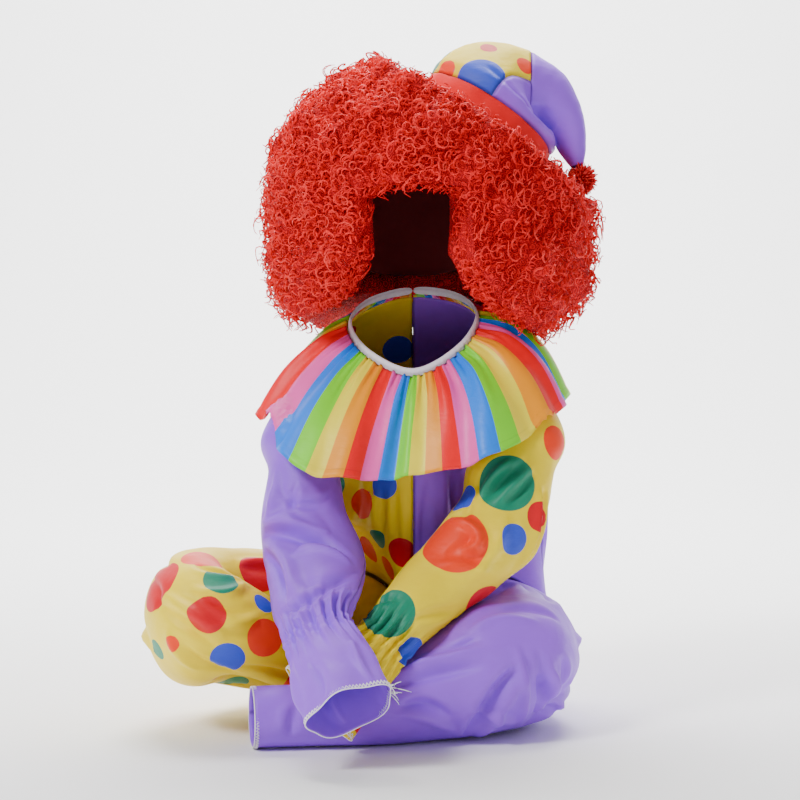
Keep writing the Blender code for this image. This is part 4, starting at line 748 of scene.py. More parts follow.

# %% [markdown]
# Now the finishes of the cloth. Plain satin is one colour, a little deeper in patches, with painted shade in the
# seams. The dotted cloth reads two attributes of the mesh, the distance to the nearest dot's edge and that dot's
# colour, so the dots bend with the cloth and are cut by the seams as printed dots are. The collar's satin counts
# its stripes in an attribute too. The gloss stays in the shader itself: a soft sheen and a middling roughness.

# %% Cloth finishes
def srgb(code):
    """A colour written as six hexadecimal digits, as linear red, green and blue."""
    parts = np.array([int(code[i : i + 2], 16) for i in (0, 2, 4)]) / 255
    return tuple(np.where(parts <= 0.04045, parts / 12.92, ((parts + 0.055) / 1.055) ** 2.4)) + (1.0,)


def new_finish(name):
    """A new material, its node tree and its shader."""
    finish = bpy.data.materials.new(name)
    finish.use_nodes = True
    return finish, finish.node_tree, finish.node_tree.nodes["Principled BSDF"]


def cloth_finish(name, colour, bump=0.0013, roughness=0.50, sheen=0.04, crumple=30.0):
    """A Principled shader with the satin's height, patches of deeper dye, and sunk seams darkened as painted shade.

    colour is the cloth's colour, or a function that builds it in the material's node tree."""
    finish, tree, shader = new_finish(name)
    base = colour(tree) if callable(colour) else colour
    deeper = place_group(tree, dye_wear)[0]
    seam = place_group(tree, seam_groove_and_shade)[0]
    if callable(colour):
        dark = blended(tree, 1.0, base, (0.86, 0.82, 0.86, 1), "MULTIPLY")
    else:
        dark = tuple(0.84 * np.array(base[:3])) + (1,)
    faded = blended(tree, deeper, base, dark)
    # Painted shade: along the seams the colour is drawn towards near black.
    seam_shaded_colour = blended(tree, sum_of(tree, (seam, 0.45)), faded, (0.02, 0.01, 0.03, 1))
    tree.links.new(seam_shaded_colour, shader.inputs["Base Color"])
    rough = add_node(tree, "ShaderNodeMapRange", n0=deeper, n3=roughness - 0.05, n4=roughness + 0.07)
    tree.links.new(rough.outputs[0], shader.inputs["Roughness"])
    shader.inputs["Specular IOR Level"].default_value = 0.32
    shader.inputs["Sheen Weight"].default_value = sheen
    shader.inputs["Sheen Roughness"].default_value = 0.45
    height = place_group(tree, satin_height, Crumple_Scale=crumple)[0]
    sunk = sum_of(tree, (height, 1.0), (seam, -0.9))
    relief = add_node(tree, "ShaderNodeBump", Height=sunk, Distance=bump, Strength=1.0)
    tree.links.new(relief.outputs[0], shader.inputs["Normal"])
    return finish


DOT_COLOURS = {"green": srgb("1C8B69"), "orange": srgb("FF3C06"), "blue": srgb("3450D4"), "red": srgb("E0061C")}
CLOTH_YELLOW = srgb("FFE200")
CLOTH_PURPLE = srgb("A05AF4")


def dotted_colour(tree):
    """Yellow, or the nearest dot's colour where the distance to its edge is below zero, over 0.4 mm."""
    distance = attribute(tree, "dot_distance")
    outside = add_node(tree, "ShaderNodeMapRange", n0=distance, n1=-0.0002, n2=0.0002).outputs[0]
    return blended(tree, outside, attribute(tree, "dot_colour", "Color"), CLOTH_YELLOW)


STRIPES = tuple(srgb(code) for code in ("FF0818", "FF5CBA", "0A84FF", "84EE1C", "FFEC38", "FFA000"))


def striped_colour(tree):
    """Six colours in turn: the fraction of the stripe count divided by six picks one from a ramp of plain steps."""
    count = len(STRIPES)
    part = maths(tree, "FRACT", maths(tree, "DIVIDE", attribute(tree, "stripe"), float(count)))
    ramp = add_node(tree, "ShaderNodeValToRGB", Fac=part)
    ramp.color_ramp.interpolation = "CONSTANT"
    for k, colour in enumerate(STRIPES):
        step = ramp.color_ramp.elements[k] if k < 2 else ramp.color_ramp.elements.new(k / count)
        step.position, step.color = k / count, colour
    return ramp.outputs[0]


purple_satin = cloth_finish("purple_satin", CLOTH_PURPLE)
dotted_satin = cloth_finish("dotted_satin", dotted_colour)
striped_satin = cloth_finish("striped_satin", striped_colour, bump=0.0008, roughness=0.44, sheen=0.03, crumple=42.0)
red_felt = cloth_finish("red_felt", srgb("F00A14"), bump=0.0006, roughness=0.8, sheen=0.1, crumple=60.0)
white_bias = cloth_finish("white_bias", srgb("FBF4FF"), bump=0.0005, roughness=0.6, sheen=0.1, crumple=50.0)
white_thread = cloth_finish("white_thread", srgb("FFFBFF"), bump=0.0003, roughness=0.7, crumple=120.0)
print("finishes:", [finish.name for finish in bpy.data.materials if finish.use_nodes])

# %% [markdown]
# The dots are printed at random, in four colours, big on the sleeve and smaller on the leg. Those in front stand
# where the costume has them, and the hidden sides get more of the same. A dot is a ball round a point of the
# unfolded cloth: the distance to the nearest ball, less its radius, is worked out before any fold is pressed in,
# so a fold carries its part of the dot along.

# %% Dots
DOTS = {
    # turn, along, radius in millimetres, colour
    "left_sleeve": (
        (0.238, 2.78, 26, "green"), (0.170, 5.42, 30, "orange"), (0.335, 4.25, 14, "blue"), (0.068, 3.46, 14, "blue"),
        (0.395, 3.42, 14, "red"), (0.490, 5.55, 20, "red"), (0.145, 7.58, 23, "green"), (0.400, 1.40, 16, "orange"),
        (0.640, 2.10, 26, "blue"), (0.700, 4.10, 27, "green"), (0.905, 2.00, 22, "red"), (0.860, 5.60, 24, "blue"),
        (0.620, 6.40, 20, "orange"), (0.450, 7.76, 14, "blue"), (0.560, 9.30, 22, "red"), (0.900, 9.20, 20, "orange"),
        (0.180, 9.50, 18, "red"), (0.560, 0.60, 18, "red"),
    ),
    "right_leg": (
        (0.400, 4.50, 25, "red"), (0.322, 5.72, 15.5, "green"), (0.452, 5.66, 16.5, "red"),
        (0.476, 6.47, 17, "orange"), (0.594, 5.97, 15.5, "blue"), (0.338, 6.40, 10, "blue"),
        (0.566, 4.62, 10, "green"), (0.540, 5.10, 7, "orange"), (0.230, 4.60, 20, "orange"),
        (0.460, 2.70, 21, "blue"), (0.330, 1.70, 22, "green"), (0.560, 1.60, 22, "orange"),
        (0.640, 3.40, 20, "red"), (0.120, 2.70, 19, "red"), (0.800, 2.70, 15, "green"), (0.820, 5.50, 17, "red"),
        (0.150, 6.10, 16, "green"), (0.640, 7.20, 15, "orange"), (0.100, 1.20, 20, "blue"), (0.300, 7.60, 15, "red"),
        (0.740, 1.20, 15, "red"), (0.900, 4.00, 18, "orange"), (0.380, 3.60, 13, "green"), (0.850, 7.60, 15, "blue"),
    ),
    "trunk": (
        (0.235, 2.85, 14, "orange"), (0.140, 3.56, 13, "blue"), (0.172, 1.86, 10, "green"), (0.058, 2.04, 14, "red"),
        (0.121, 1.24, 12, "orange"), (0.205, 0.80, 14, "red"), (0.330, 3.30, 18, "green"), (0.360, 1.60, 19, "blue"),
        (0.100, 4.90, 18, "green"), (0.260, 4.40, 16, "red"), (0.060, 6.00, 15, "orange"), (0.300, 6.30, 14, "blue"),
        (0.560, 3.20, 22, "red"), (0.680, 1.60, 23, "green"), (0.720, 3.70, 22, "blue"), (0.840, 2.50, 22, "orange"),
        (0.900, 4.10, 21, "red"), (0.860, 0.90, 22, "blue"), (0.600, 4.60, 18, "orange"), (0.740, 5.20, 18, "green"),
        (0.540, 0.80, 20, "red"), (0.960, 1.90, 18, "green"), (0.950, 5.60, 15, "blue"), (0.700, 6.40, 13, "red"),
    ),
}


def dotted(points, surface, rows):
    """At each point, the distance to the nearest dot's edge and that dot's colour."""
    centres = np.stack([surface(np.array([row[0]]), np.array([float(row[1])]))[0] for row in rows])
    radii = np.array([row[2] for row in rows]) / 1000
    shades = np.array([DOT_COLOURS[row[3]][:3] for row in rows])
    away = np.linalg.norm(points[..., None, :] - centres, axis=-1) - radii
    return away.min(axis=-1), shades[away.argmin(axis=-1)]


def cloth_piece(name, grid, dots, cloth, closed=False, **worn_as):
    """One cut of the cloth, with its dots printed and its seams marked, in place of its solid."""
    points, facing, _, seams = grid
    finish, slot = cloth
    piece = grid_piece(name + "_cloth", points, facing, finish, closed=closed, uv=cloth_uv(points, closed),
                       numbers={"dot_distance": dots[0], "seam_distance": seams}, colours={"dot_colour": dots[1]})
    worn(piece, [name], slot, points, closed=closed, **worn_as)
    return points


# Each cloth is a finish and the name of a slot
PURPLE = purple_satin, "purple_cloth"
DOTTED = dotted_satin, "yellow_dotted_cloth"
print("dots:", {name: len(rows) for name, rows in DOTS.items()})

# %% [markdown]
# The trunk is four panels. Each runs from the centre seam to the side seam, and its edge is bitten out where the
# sleeve is set in. The columns crowd towards the edges, where the cloth rolls into the seam, so the roll stays
# round without a dense grid everywhere. Lofting curves would do as well, but the bite at the armhole is easier
# when the piece is a function: only the far edge changes.

# %% Trunk panels
PANEL_NODES = (("front_left_panel", 1, True), ("front_right_panel", -1, True),
               ("back_left_panel", 1, False), ("back_right_panel", -1, False))


def seam_roll(distance, depth=0.0009, half=0.0022):
    """How far the cloth sinks beside a seam: depth times e to the minus (distance / half) squared."""
    return depth * np.exp(-((distance / half) ** 2))


def walked(points, axis):
    """The distance walked from the first point along an axis of the grid."""
    steps = np.linalg.norm(np.diff(points, axis=axis), axis=-1)
    return np.concatenate([np.zeros_like(np.take(steps, [0], axis)), np.cumsum(steps, axis=axis)], axis=axis)


def trunk_panel(name, side, front, rows=104, count=50):
    """The grid of one panel: around = the far edge times a share from 0 to 1, where the far edge follows the bite.

    The bite is the armhole's width times the square root of one less the squared share of its height."""
    arm = SHOULDER_STATION - ARMPIT_STATION
    hole = ARMPIT_STATION + arm * (1 - np.cos(np.linspace(0, math.pi, rows // 3))) / 2
    below = np.linspace(0, ARMPIT_STATION, rows // 2)[:-1]
    above = np.linspace(SHOULDER_STATION, NECK_STATION, rows // 8)[1:]
    along = np.concatenate([below, hole, above])
    share = np.clip(2 * (along - ARMPIT_STATION) / arm - 1, -1, 1)
    bite = np.where((along > ARMPIT_STATION) & (along < SHOULDER_STATION), np.sqrt(np.maximum(1 - share**2, 0)), 0)
    across = (1 - np.cos(np.linspace(0, math.pi, count))) / 2
    if front:
        around = (0.5 - ARMHOLE_FRONT * bite)[:, None] * across
    else:
        around = 1 - (0.5 - ARMHOLE_BACK * bite)[:, None] * across
    along = np.broadcast_to(along[:, None], around.shape)
    plain = trunk_point(side, around, along)
    facing = surface_normal(trunk_point, side, around, along)
    inland = smoothstep(across / 0.10) * smoothstep((1 - across) / 0.10) * smoothstep(along / 0.6)
    inland = inland * smoothstep((NECK_STATION - along) / 0.6)
    points = folded_panel(name, side, around, along)
    lift = fold_relief(plain, facing, lambda u, v: trunk_point(side, u, v), deepened(name))
    lift = lift + 0.0011 * rumple(plain, 0.05, side + 5 + front)
    from_centre = walked(plain, 1)
    to_edge = from_centre[:, -1:] - from_centre
    seams = np.minimum(np.minimum(from_centre, to_edge), walked(plain, 0))
    points = points + (lift * inland - seam_roll(seams) + 0.0002)[..., None] * facing
    points[..., 0] = side * np.maximum(side * points[..., 0], SEAM / 3)
    return points, facing, plain, seams


for name, side, front in PANEL_NODES:
    panel = trunk_panel(name, side, front)
    dots = dotted(panel[2], lambda u, v: trunk_point(-1, u, v), DOTS["trunk"])
    cloth_piece(name, panel, dots, PURPLE if side > 0 else DOTTED, rests_on=("neck_binding_bias",))

# %% [markdown]
# A leg is one tube of cloth from the groin seam round the bent knee to the hem. It has one seam, inside, and its
# top edge lies against the trunk. The main folds run across the knee and where the shin turns under. A skinned
# cylinder with sculpted folds is the other way to make it. The grid keeps the count of faces known beforehand.

# %% Legs
LEG_NODES = (("left_leg", 1), ("right_leg", -1))


def ring_seam(points):
    """The distance to the seam that runs along turn 0, round the ring, and from there back to it."""
    ringed = walked(np.concatenate([points, points[:, :1]], axis=1), 1)
    return np.minimum(ringed[:, :-1], ringed[:, -1:] - ringed[:, :-1])


def leg_grid(name, side, rows=144, count=126):
    """The grid of one leg: the oval rings with large folds, then small ones, low waves and the sunk seams.

    Its top edge is drawn 1.6 mm towards the trunk, so that the seam closes. This dies away within a few mm."""
    last = len(LEFT_LEG if side > 0 else RIGHT_LEG) - 1
    along, turn = np.meshgrid(np.linspace(0, last, rows), np.linspace(0, 1, count, endpoint=False), indexing="ij")
    plain = leg_point(side, turn, along)
    facing = -surface_normal(leg_point, side, turn, along)
    points = folded_leg(side, turn, along)
    lift = fold_relief(plain, facing, lambda u, v: leg_point(side, u, v), deepened(name))
    lift = lift + 0.0015 * rumple(plain, 0.055, side + 20)
    seams = np.minimum(ring_seam(plain), walked(plain, 0))
    share = smoothstep(along / 0.6)
    points = on_floor(points + (lift * share - seam_roll(seams) + 0.0002)[..., None] * facing)
    crotch = along < 0.25
    points[..., 0] = np.where(crotch, side * np.maximum(side * points[..., 0], SEAM / 3), points[..., 0])
    tuck = 0.0016 * np.exp(-((walked(plain, 0) / 0.004) ** 2))
    points = points + tuck[..., None] * unit(plain[:1] - plain[2:3])
    return points, facing, plain, seams


leg_cloths = {}
for name, side in LEG_NODES:
    leg = leg_grid(name, side)
    dots = dotted(leg[2], lambda u, v: leg_point(-1, u, v), DOTS["right_leg"])
    leg_cloths[side] = cloth_piece(name, leg, dots, PURPLE if side > 0 else DOTTED, closed=True)

# %% [markdown]
# A sleeve hangs from the armhole, bends at the elbow, is drawn in by elastic at the wrist and ends in a frill. The
# gathers at the elastic are small waves round the ring that are deepest at the stitches and die away within two
# centimetres. They are not one even wave: the phase drifts and a second, finer wave rides on the first. Two rows
# of stitching sink into the cloth at the elastic.

# %% Sleeves
SLEEVE_NODES = (("left_sleeve", 1), ("right_sleeve", -1))


def uneven_gathers(turn, along, middle, side):
    """Waves round the wrist, in metres: the drifting main wave and a finer one, with the elastic's pinch between.

    Their height falls off as e to the minus three times the squared distance in sections, slower down the frill."""
    above = np.clip((middle - along) / 1.0, 0, None)
    below = np.clip((along - middle) / 0.9, 0, None)
    near = np.exp(-(above**2) * 3) * np.exp(-(below**2) * 3)
    drift = 0.9 * np.sin(2 * math.pi * 3 * turn + side) + 0.5 * np.sin(2 * math.pi * 5 * turn + 2)
    main = np.sin(2 * math.pi * CUFF_GATHERS * turn + drift * near)
    finer = np.sin(2 * math.pi * 37 * turn + 1.7 * drift + 2 * along)
    frill = smoothstep((along - middle - 0.5) / 1.5) * FRILL_WAVE_DEEP * np.sin(2 * math.pi * FRILL_WAVES * turn)
    pinch = np.exp(-(((along - middle) / 0.07) ** 2)) + 0.8 * np.exp(-(((along - middle - 0.22) / 0.06) ** 2))
    return CUFF_GATHER_DEEP * near * (1.5 * main + 0.6 * finer) + frill - 0.0020 * pinch


def sleeve_grid(name, side, rows=144, count=132):
    """The grid of one sleeve: rings from the armhole to the mouth, with folds, gathers and the sunk seams."""
    middle = cuff_section(side)
    low = np.linspace(0, middle - 0.8, rows // 2)
    high = np.linspace(middle - 0.8, middle + 2, rows // 2 + 1)[1:]
    along, turn = np.meshgrid(np.concatenate([low, high]), np.linspace(0, 1, count, endpoint=False), indexing="ij")
    plain = sleeve_point(side, turn, along)
    facing = outward(plain, True)
    points = folded_sleeve(side, turn, along)
    lift = fold_relief(plain, facing, lambda u, v: sleeve_point(side, u, v), deepened(name))
    lift = lift + 0.0014 * rumple(plain, 0.045, side + 40)
    seams = np.minimum(ring_seam(plain), walked(plain, 0))
    lift = lift * smoothstep(along / 0.6) + uneven_gathers(turn, along, middle, side)
    points = points + (lift - seam_roll(seams) + 0.0002)[..., None] * facing
    legs = np.concatenate([leg_cloths[1][::2, ::2].reshape(-1, 3), leg_cloths[-1][::2, ::2].reshape(-1, 3)])
    points[2:] = resting(points[2:], legs, 0.0012, 0.006)
    return points, facing, plain, seams


sleeve_cloths = {}
for name, side in SLEEVE_NODES:
    sleeve = sleeve_grid(name, side)
    dots = dotted(sleeve[2], lambda u, v: sleeve_point(1, u, v), DOTS["left_sleeve"])
    cloth = DOTTED if side > 0 else PURPLE
    sleeve_cloths[side] = cloth_piece(name, sleeve, dots, cloth, closed=True, held="gathered")

# %% [markdown]
# The raw edges of the cuffs and trouser hems are overlocked with white thread. Seen close, that is a thread which
# zigzags over the edge, with a chain of thread along the very edge. Each is a thin tube along a path on the last
# ring of the cloth: the path walks round the edge and swings in and out of it. A texture could paint it, but the
# thread has to stand out at the edge against a white ground.

# %% Overlocked edges
def thread_tube(path, radius, sides=5):
    """A tube along a closed path: at each point a ring of the given radius in the plane square to the path."""
    along = unit(np.roll(path, -1, axis=0) - np.roll(path, 1, axis=0))
    hint = np.where(np.abs(along[:, 2:]) > 0.9, [1.0, 0, 0], [0, 0, 1.0])
    first = unit(np.cross(along, hint))
    second = np.cross(along, first)
    angle = circle(sides)[None, :, None]
    spoke = np.cos(angle) * first[:, None] + np.sin(angle) * second[:, None]
    rings = path[:, None] + radius * spoke
    return np.concatenate([rings, rings[:1]]), np.concatenate([spoke, spoke[:1]])


def resampled(path, step):
    """A closed path as evenly spaced points, a given step apart."""
    ringed = np.concatenate([path, path[:1]])
    far = np.concatenate([[0], np.cumsum(np.linalg.norm(np.diff(ringed, axis=0), axis=1))])
    at = np.linspace(0, far[-1], max(int(far[-1] / step), 8), endpoint=False)
    return np.stack([np.interp(at, far, ringed[:, k]) for k in range(3)], axis=-1), at, far[-1]


STITCH_EVERY = 0.0030
STITCH_DEEP = 0.0042
PATH_STEP = 0.0006
# The distance to a seam where no seam is near
NO_SEAM = 0.02


def overlock(name, edge, inland, out):
    """White stitches over an edge: a zigzag whose swing is a triangle wave every 3 mm, and a chain at the edge."""
    path, at, length = resampled(edge, PATH_STEP)
    inner = resampled(inland, PATH_STEP)[0]
    pick = np.linspace(0, len(inner) - 1, len(path)).round().astype(int)
    into = unit(inner[pick] - path)
    count = max(int(length / STITCH_EVERY), 8)
    wave = np.abs(((at / length * count) % 1.0) * 2 - 1)
    zigzag = path + into * (0.0002 + STITCH_DEEP * wave)[:, None] + 0.0006 * out[pick % len(out)]
    for label, line, radius in (("zigzag", zigzag, 0.00052), ("chain", path + 0.0001 * into, 0.00058)):
        rings, spoke = thread_tube(line, radius)
        piece = grid_piece(f"{name}_{label}", rings, spoke, white_thread, closed=True, wall=0,
                           numbers={"seam_distance": np.full(rings.shape[:2], NO_SEAM)})
        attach(piece, "root")


edges = [(name + "_hem", leg_cloths[side]) for name, side in LEG_NODES]
edges += [(name + "_mouth", sleeve_cloths[side]) for name, side in SLEEVE_NODES]
for name, cloth in edges:
    overlock(name, cloth[-1], cloth[-4], unit(cloth[-1] - cloth[-1].mean(axis=0)))
print("edges overlocked:", len(edges))

# %% [markdown]
# The ruffle collar is a straight striped strip, about 1.15 m long, whose long edge is gathered to a neckline of
# 37 cm. So the stripes are a centimetre wide at the neck and spread to more than twice that at the edge. The
# gathers are sharp at the neck and melt into a few soft waves at the edge. Both are waves whose phase drifts, so
# that no two are the same. It lies on the shoulders and arms, and is open at the centre back.

# %% Collar
def collar_point(turn, ring):
    """A point of the plain collar. turn 0 to 1 runs from centre front by the left shoulder round to the front."""
    table = np.array([row[1:] for row in COLLAR], float)
    looped = np.concatenate([table[:, -1:], table, table[:, :2]], axis=1)
    curves = []
    for line in looped:
        line = line.reshape((len(line),) + (1,) * np.ndim(turn) + (3,))
        line = np.broadcast_to(line, (len(line),) + np.shape(turn) + (3,))
        curves.append(catmull_rom(line, 1 + 8 * turn))
    return catmull_rom(np.stack(curves), ring)


def collar_normals(points):
    """Normals of the collar, which point up and out."""
    found = normals(points, False)
    return found * np.sign(found[..., 2].mean())


def collar_surface(turn, ring):
    """The collar's outside: gathers that die away from the neck, soft waves that grow, and the arms below it."""
    plain = collar_point(turn % 1.0, ring)
    gather = GATHER_DEEP * np.exp(-((ring / 1.6) ** 2)) * np.sin(2 * math.pi * COLLAR_GATHERS * turn)
    wave = EDGE_WAVE_DEEP * smoothstep(ring / 3) * np.sin(2 * math.pi * EDGE_WAVES * turn)
    outer = plain + (gather + wave + GATHER_DEEP + CLOTH - 3 * SEAM)[..., None] * collar_normals(plain)
    along, around = np.meshgrid(np.linspace(0, 2.5, 30), np.linspace(0, 1, 60), indexing="ij")
    arms = [catmull_rom(sleeve_sections(side, around), along) for side in (1, -1)]
    return resting(outer, np.stack(arms), CLOTH + REST_LIFT)


STRIPE_SPREAD = (
    # turn from centre front, stripe number
    (-0.5, -22.0), (-0.25, -8.6), (-0.15, -5.5), (-0.06, -2.0), (0.0, 0.95), (0.06, 4.1),
    (0.10, 5.9), (0.16, 8.0), (0.215, 10.6), (0.5, 26.0),
)
# Added to every stripe number: it keeps them above zero and sets which colour comes to the centre front
STRIPE_SHIFT = 44.5
# The row of stitches that holds the collar's hem, this far from its edge
HEM_STITCHES = 0.0085


def ruffle_grid(rows=40, count=432):
    """The collar's grid. The ring 0 to 3 runs from the neck to the edge; the turn runs from the slit round to it.

    The lift adds a second, finer and drifting gather near the neck and small uneven waves at the edge."""
    turn = np.linspace(0.5 + 0.003, 1.5 - 0.003, count)
    ring, around = np.meshgrid(3 * np.linspace(0, 1, rows) ** 1.15, turn, indexing="ij")
    plain = collar_surface(around, ring)
    facing = collar_normals(plain)
    drift = np.sin(2 * math.pi * 5 * around) + 0.6 * np.sin(2 * math.pi * 9 * around + 1)
    fine = np.sin(2 * math.pi * 2 * COLLAR_GATHERS * around + 1.4 * drift) * np.exp(-((ring / 0.9) ** 2))
    middle = np.sin(2 * math.pi * 19 * around + 1.2 * drift) * smoothstep(ring / 1.2) * np.exp(-((ring / 2.6) ** 4))
    edge = np.sin(2 * math.pi * 23 * around + 0.9 * drift) * smoothstep((ring - 1.2) / 1.6)
    lift = 0.0012 * fine + 0.0026 * middle + 0.0018 * edge
    hem = walked(plain[::-1], 0)[::-1]
    turned = 0.0003 * smoothstep((0.008 - hem) / 0.0012) - 0.0003 * np.exp(-(((hem - HEM_STITCHES) / 0.0011) ** 2))
    seams = np.minimum(walked(plain, 0) + 0.0004, np.abs(hem - HEM_STITCHES) + 0.0016)
    points = plain + (lift + turned)[..., None] * facing
    knots = np.array(STRIPE_SPREAD)
    stripe = np.interp(around - 1.0, knots[:, 0], knots[:, 1]) + STRIPE_SHIFT
    return points, facing, stripe, seams


points, facing, stripe, seams = ruffle_grid()
ruffle = grid_piece("collar_ruffle_satin", points, facing, striped_satin, uv=cloth_uv(points),
                    numbers={"stripe": stripe, "seam_distance": seams}, wall=0.0008)
worn(ruffle, ["collar_ruffle"], "striped_satin", points, held="gathered",
     rests_on=("left_sleeve_cloth", "right_sleeve_cloth"))
ruffle_points = points

# %% [markdown]
# A white bias binding closes the neckline. It is a narrow folded strip with a rounded section, a little puckered
# where it is sewn on, and one row of stitches runs along it. It is made as a flat oval section carried round the
# neck, with small uneven swellings. A swept curve with a bevel profile would do the same, without the puckers.

# %% Neck binding
BINDING_SIDES = 12


def binding_grid(count=400, sides=BINDING_SIDES):
    """Oval rings carried along the neckline: half its width up, half its thickness out, swollen by a fine wave."""
    turn = np.linspace(0.5 + BACK_SLIT, 1.5 - BACK_SLIT, count)
    neck = collar_point(turn % 1.0, 0 * turn)
    inward = unit((neck.mean(axis=0) - neck) * [1, 1, 0])
    rise = unit(0.35 * inward + np.array([0, 0, 1.0]))
    thick = unit(np.cross(unit(np.gradient(neck, axis=0)), rise))
    base = neck + (BINDING_WIDE / 2 + 0.0004) * rise + 0.0004 * inward
    angle = circle(sides)
    swell = 1 + 0.09 * np.sin(2 * math.pi * 70 * turn + 2.0 * np.sin(2 * math.pi * 6 * turn))
    ends = np.sqrt(np.clip(1 - (2 * np.linspace(0, 1, count) - 1) ** 60, 0.0, 1))
    high = (BINDING_WIDE / 2 * ends)[:, None, None] * np.cos(angle)[None, :, None] * rise[:, None]
    deep = (BINDING_THICK / 2 * ends * swell)[:, None, None] * np.sin(angle)[None, :, None] * thick[:, None]
    return base[:, None] + high + deep, high + deep


points, facing = binding_grid()
# The binding's row of stitches is a sunk line that the finish also darkens as painted shade.
groove = np.abs(circle(BINDING_SIDES) % math.pi - 2.2) * 0.002
binding = grid_piece("neck_binding_bias", points, facing, white_bias, closed=True, uv=cloth_uv(points, True),
                     numbers={"seam_distance": np.broadcast_to(groove + 0.0006, points.shape[:2])}, wall=0)
worn(binding, ["neck_binding"], "white_binding")

# %% [markdown]
# The costume opens at the centre back. A narrow lapped strip hides the fastening, from just under the neck to the
# waist. It lies on the back panels, follows their plain form, and has a row of stitches along each edge.

# %% Back placket
def placket_grid(rows=70, count=18):
    """A strip of even width on the back panels: for each row the point at centre back, and from it the way out."""
    along = np.linspace(PLACKET_TOP, PLACKET_BOTTOM, rows)
    offset = np.linspace(-1, 1, count) * PLACKET_HALF
    lines = []
    for side in (-1, 1):
        share = offset[offset * side > 0]
        reach = trunk_point(side, np.full(rows, 0.97), along)
        centre = trunk_point(side, np.ones(rows), along)
        line = centre[:, None] + (reach - centre)[:, None] * (np.abs(share) / np.abs(reach[:, :1]))[..., None]
        line[..., 0] = share
        lines.append(line)
    plain = np.concatenate(lines, axis=1)
    facing = normals(plain, False)
    facing = facing * np.sign(facing[..., 1].mean())
    wave = 0.0005 * np.sin(along * 9)[:, None] * np.cos(offset / PLACKET_HALF * 1.4)
    high = 0.0021 + 0.25 * np.abs(wave) - seam_roll(PLACKET_HALF - np.abs(offset), 0.0006, 0.0012)
    points = plain + high[..., None] * facing
    stitched = np.broadcast_to(np.abs(np.abs(offset) - PLACKET_HALF + 0.002) + 0.0004, points.shape[:2])
    return points, facing, stitched


points, facing, stitched = placket_grid()
placket = grid_piece("back_placket_strip", points, facing, purple_satin, uv=cloth_uv(points),
                     numbers={"seam_distance": stitched}, wall=0.0012)
worn(placket, ["back_placket"], "purple_cloth", points, held="stretched")

# %% [markdown]
# The wig is a stretch cap with bought ringlets of red fibre sewn all over it, so many that only the outer ones
# show. It is built in three parts: the cap, a mass of deeper red, as painted shade, that fills the space between
# the ringlets, and the ringlets themselves. The mass follows the solid's form, a few millimetres inside it. Hair
# particles could grow the ringlets, but they would be lost outside Blender, so each ringlet is a real thin tube.

# %% Form of the wig
# Middles of the head and of the curls, their half sizes (across, deep, up, down) and powers (above and below)
HEAD = np.array([-0.002, 0.006, 0.475])
HEAD_HALF = (0.070, 0.086, 0.092, 0.160)
HEAD_POWER = (2.0, 3.0)
CURLS = (0.0170, 0.022, 0.484)
CURLS_HALF = (0.160, 0.150, 0.137, 0.147)
CURLS_POWER = (2.0, 4.0)
CROWN_LEAN = math.radians(28)
CLUMPS = 90
CLUMP_HIGH = 0.010
CLUMP_WIDE = 0.017
WIG_LIFT = 0.0022
PUSHED_ASIDE = 0.007
# How far the curls and the cap reach from the crown, by the bearing round the head from the forehead, in degrees
WIG_RIM = (
    # bearing, curls outside, curls inside, cap
    (0, 111, 107, 100),
    (24, 112, 108, 101),
    (35, 137, 145, 109),
    (60, 145, 152, 116),
    (80, 143, 151, 118),
    (100, 138, 148, 116),
    (120, 131, 138, 112),
    (140, 120, 124, 108),
    (160, 111, 112, 104),
    (180, 108, 107, 102),
)
# Hat: its seam ring sits on the upper left of the wig, in the hat's own tilted frame
HAT_SEAT = np.array([0.0700, 0.006, 0.551])
HAT_AXIS = (0.55, 0.20, 0.81)
HAT_BASE = 0.066
BAND_HIGH = 0.018
# Sections of the soft point: centre and aim in the hat's frame (along its slope, along its axis), and radius
HAT_POINT = (
    # slope, rise, turn (degrees from the axis towards the slope), radius
    (0.000, 0.000, 0, 0.066),
    (0.000, 0.014, 4, 0.066),
    (0.003, 0.028, 22, 0.056),
    (0.0146, 0.037, 52, 0.041),
    (0.036, 0.042, 84, 0.029),
    (0.055, 0.036, 106, 0.022),
    (0.070, 0.0255, 124, 0.0165),
    (0.082, 0.015, 131, 0.012),
    (0.093, 0.005, 134, 0.006),
)
YELLOW_GORE_END = 3.2
POMPOM_RADIUS = 0.014


def head_directions(bearing, reach):
    """Directions from the head's middle: reach is the angle from the leaned crown, bearing runs from the forehead."""
    crown = np.array([0, math.sin(CROWN_LEAN), math.cos(CROWN_LEAN)])
    brow = np.array([0, -math.cos(CROWN_LEAN), math.sin(CROWN_LEAN)])
    flank = np.array([1.0, 0, 0])
    ring = np.cos(bearing)[..., None] * brow + np.sin(bearing)[..., None] * flank
    return np.cos(reach)[..., None] * crown + np.sin(reach)[..., None] * ring


def rounded_reach(direction, centre, half, power):
    """How far a ray from the head's middle goes before it leaves a rounded form, which is oval from above.

    half is across, deep, up and down. Below the centre the second power holds, and a higher power is squarer.
    """
    start = HEAD - np.array(centre)
    near, far = np.zeros(direction.shape[:-1]), np.full(direction.shape[:-1], 0.4)
    for _ in range(34):
        reach = (near + far) / 2
        point = np.abs(start + direction * reach[..., None])
        low = (start + direction * reach[..., None])[..., 2] < 0
        high = np.where(low, half[3], half[2])
        exponent = np.where(low, power[1], power[0])
        size = np.hypot(point[..., 0] / half[0], point[..., 1] / half[1]) ** exponent
        size = size + (point[..., 2] / high) ** exponent
        near, far = np.where(size < 1, reach, near), np.where(size < 1, far, reach)
    return near


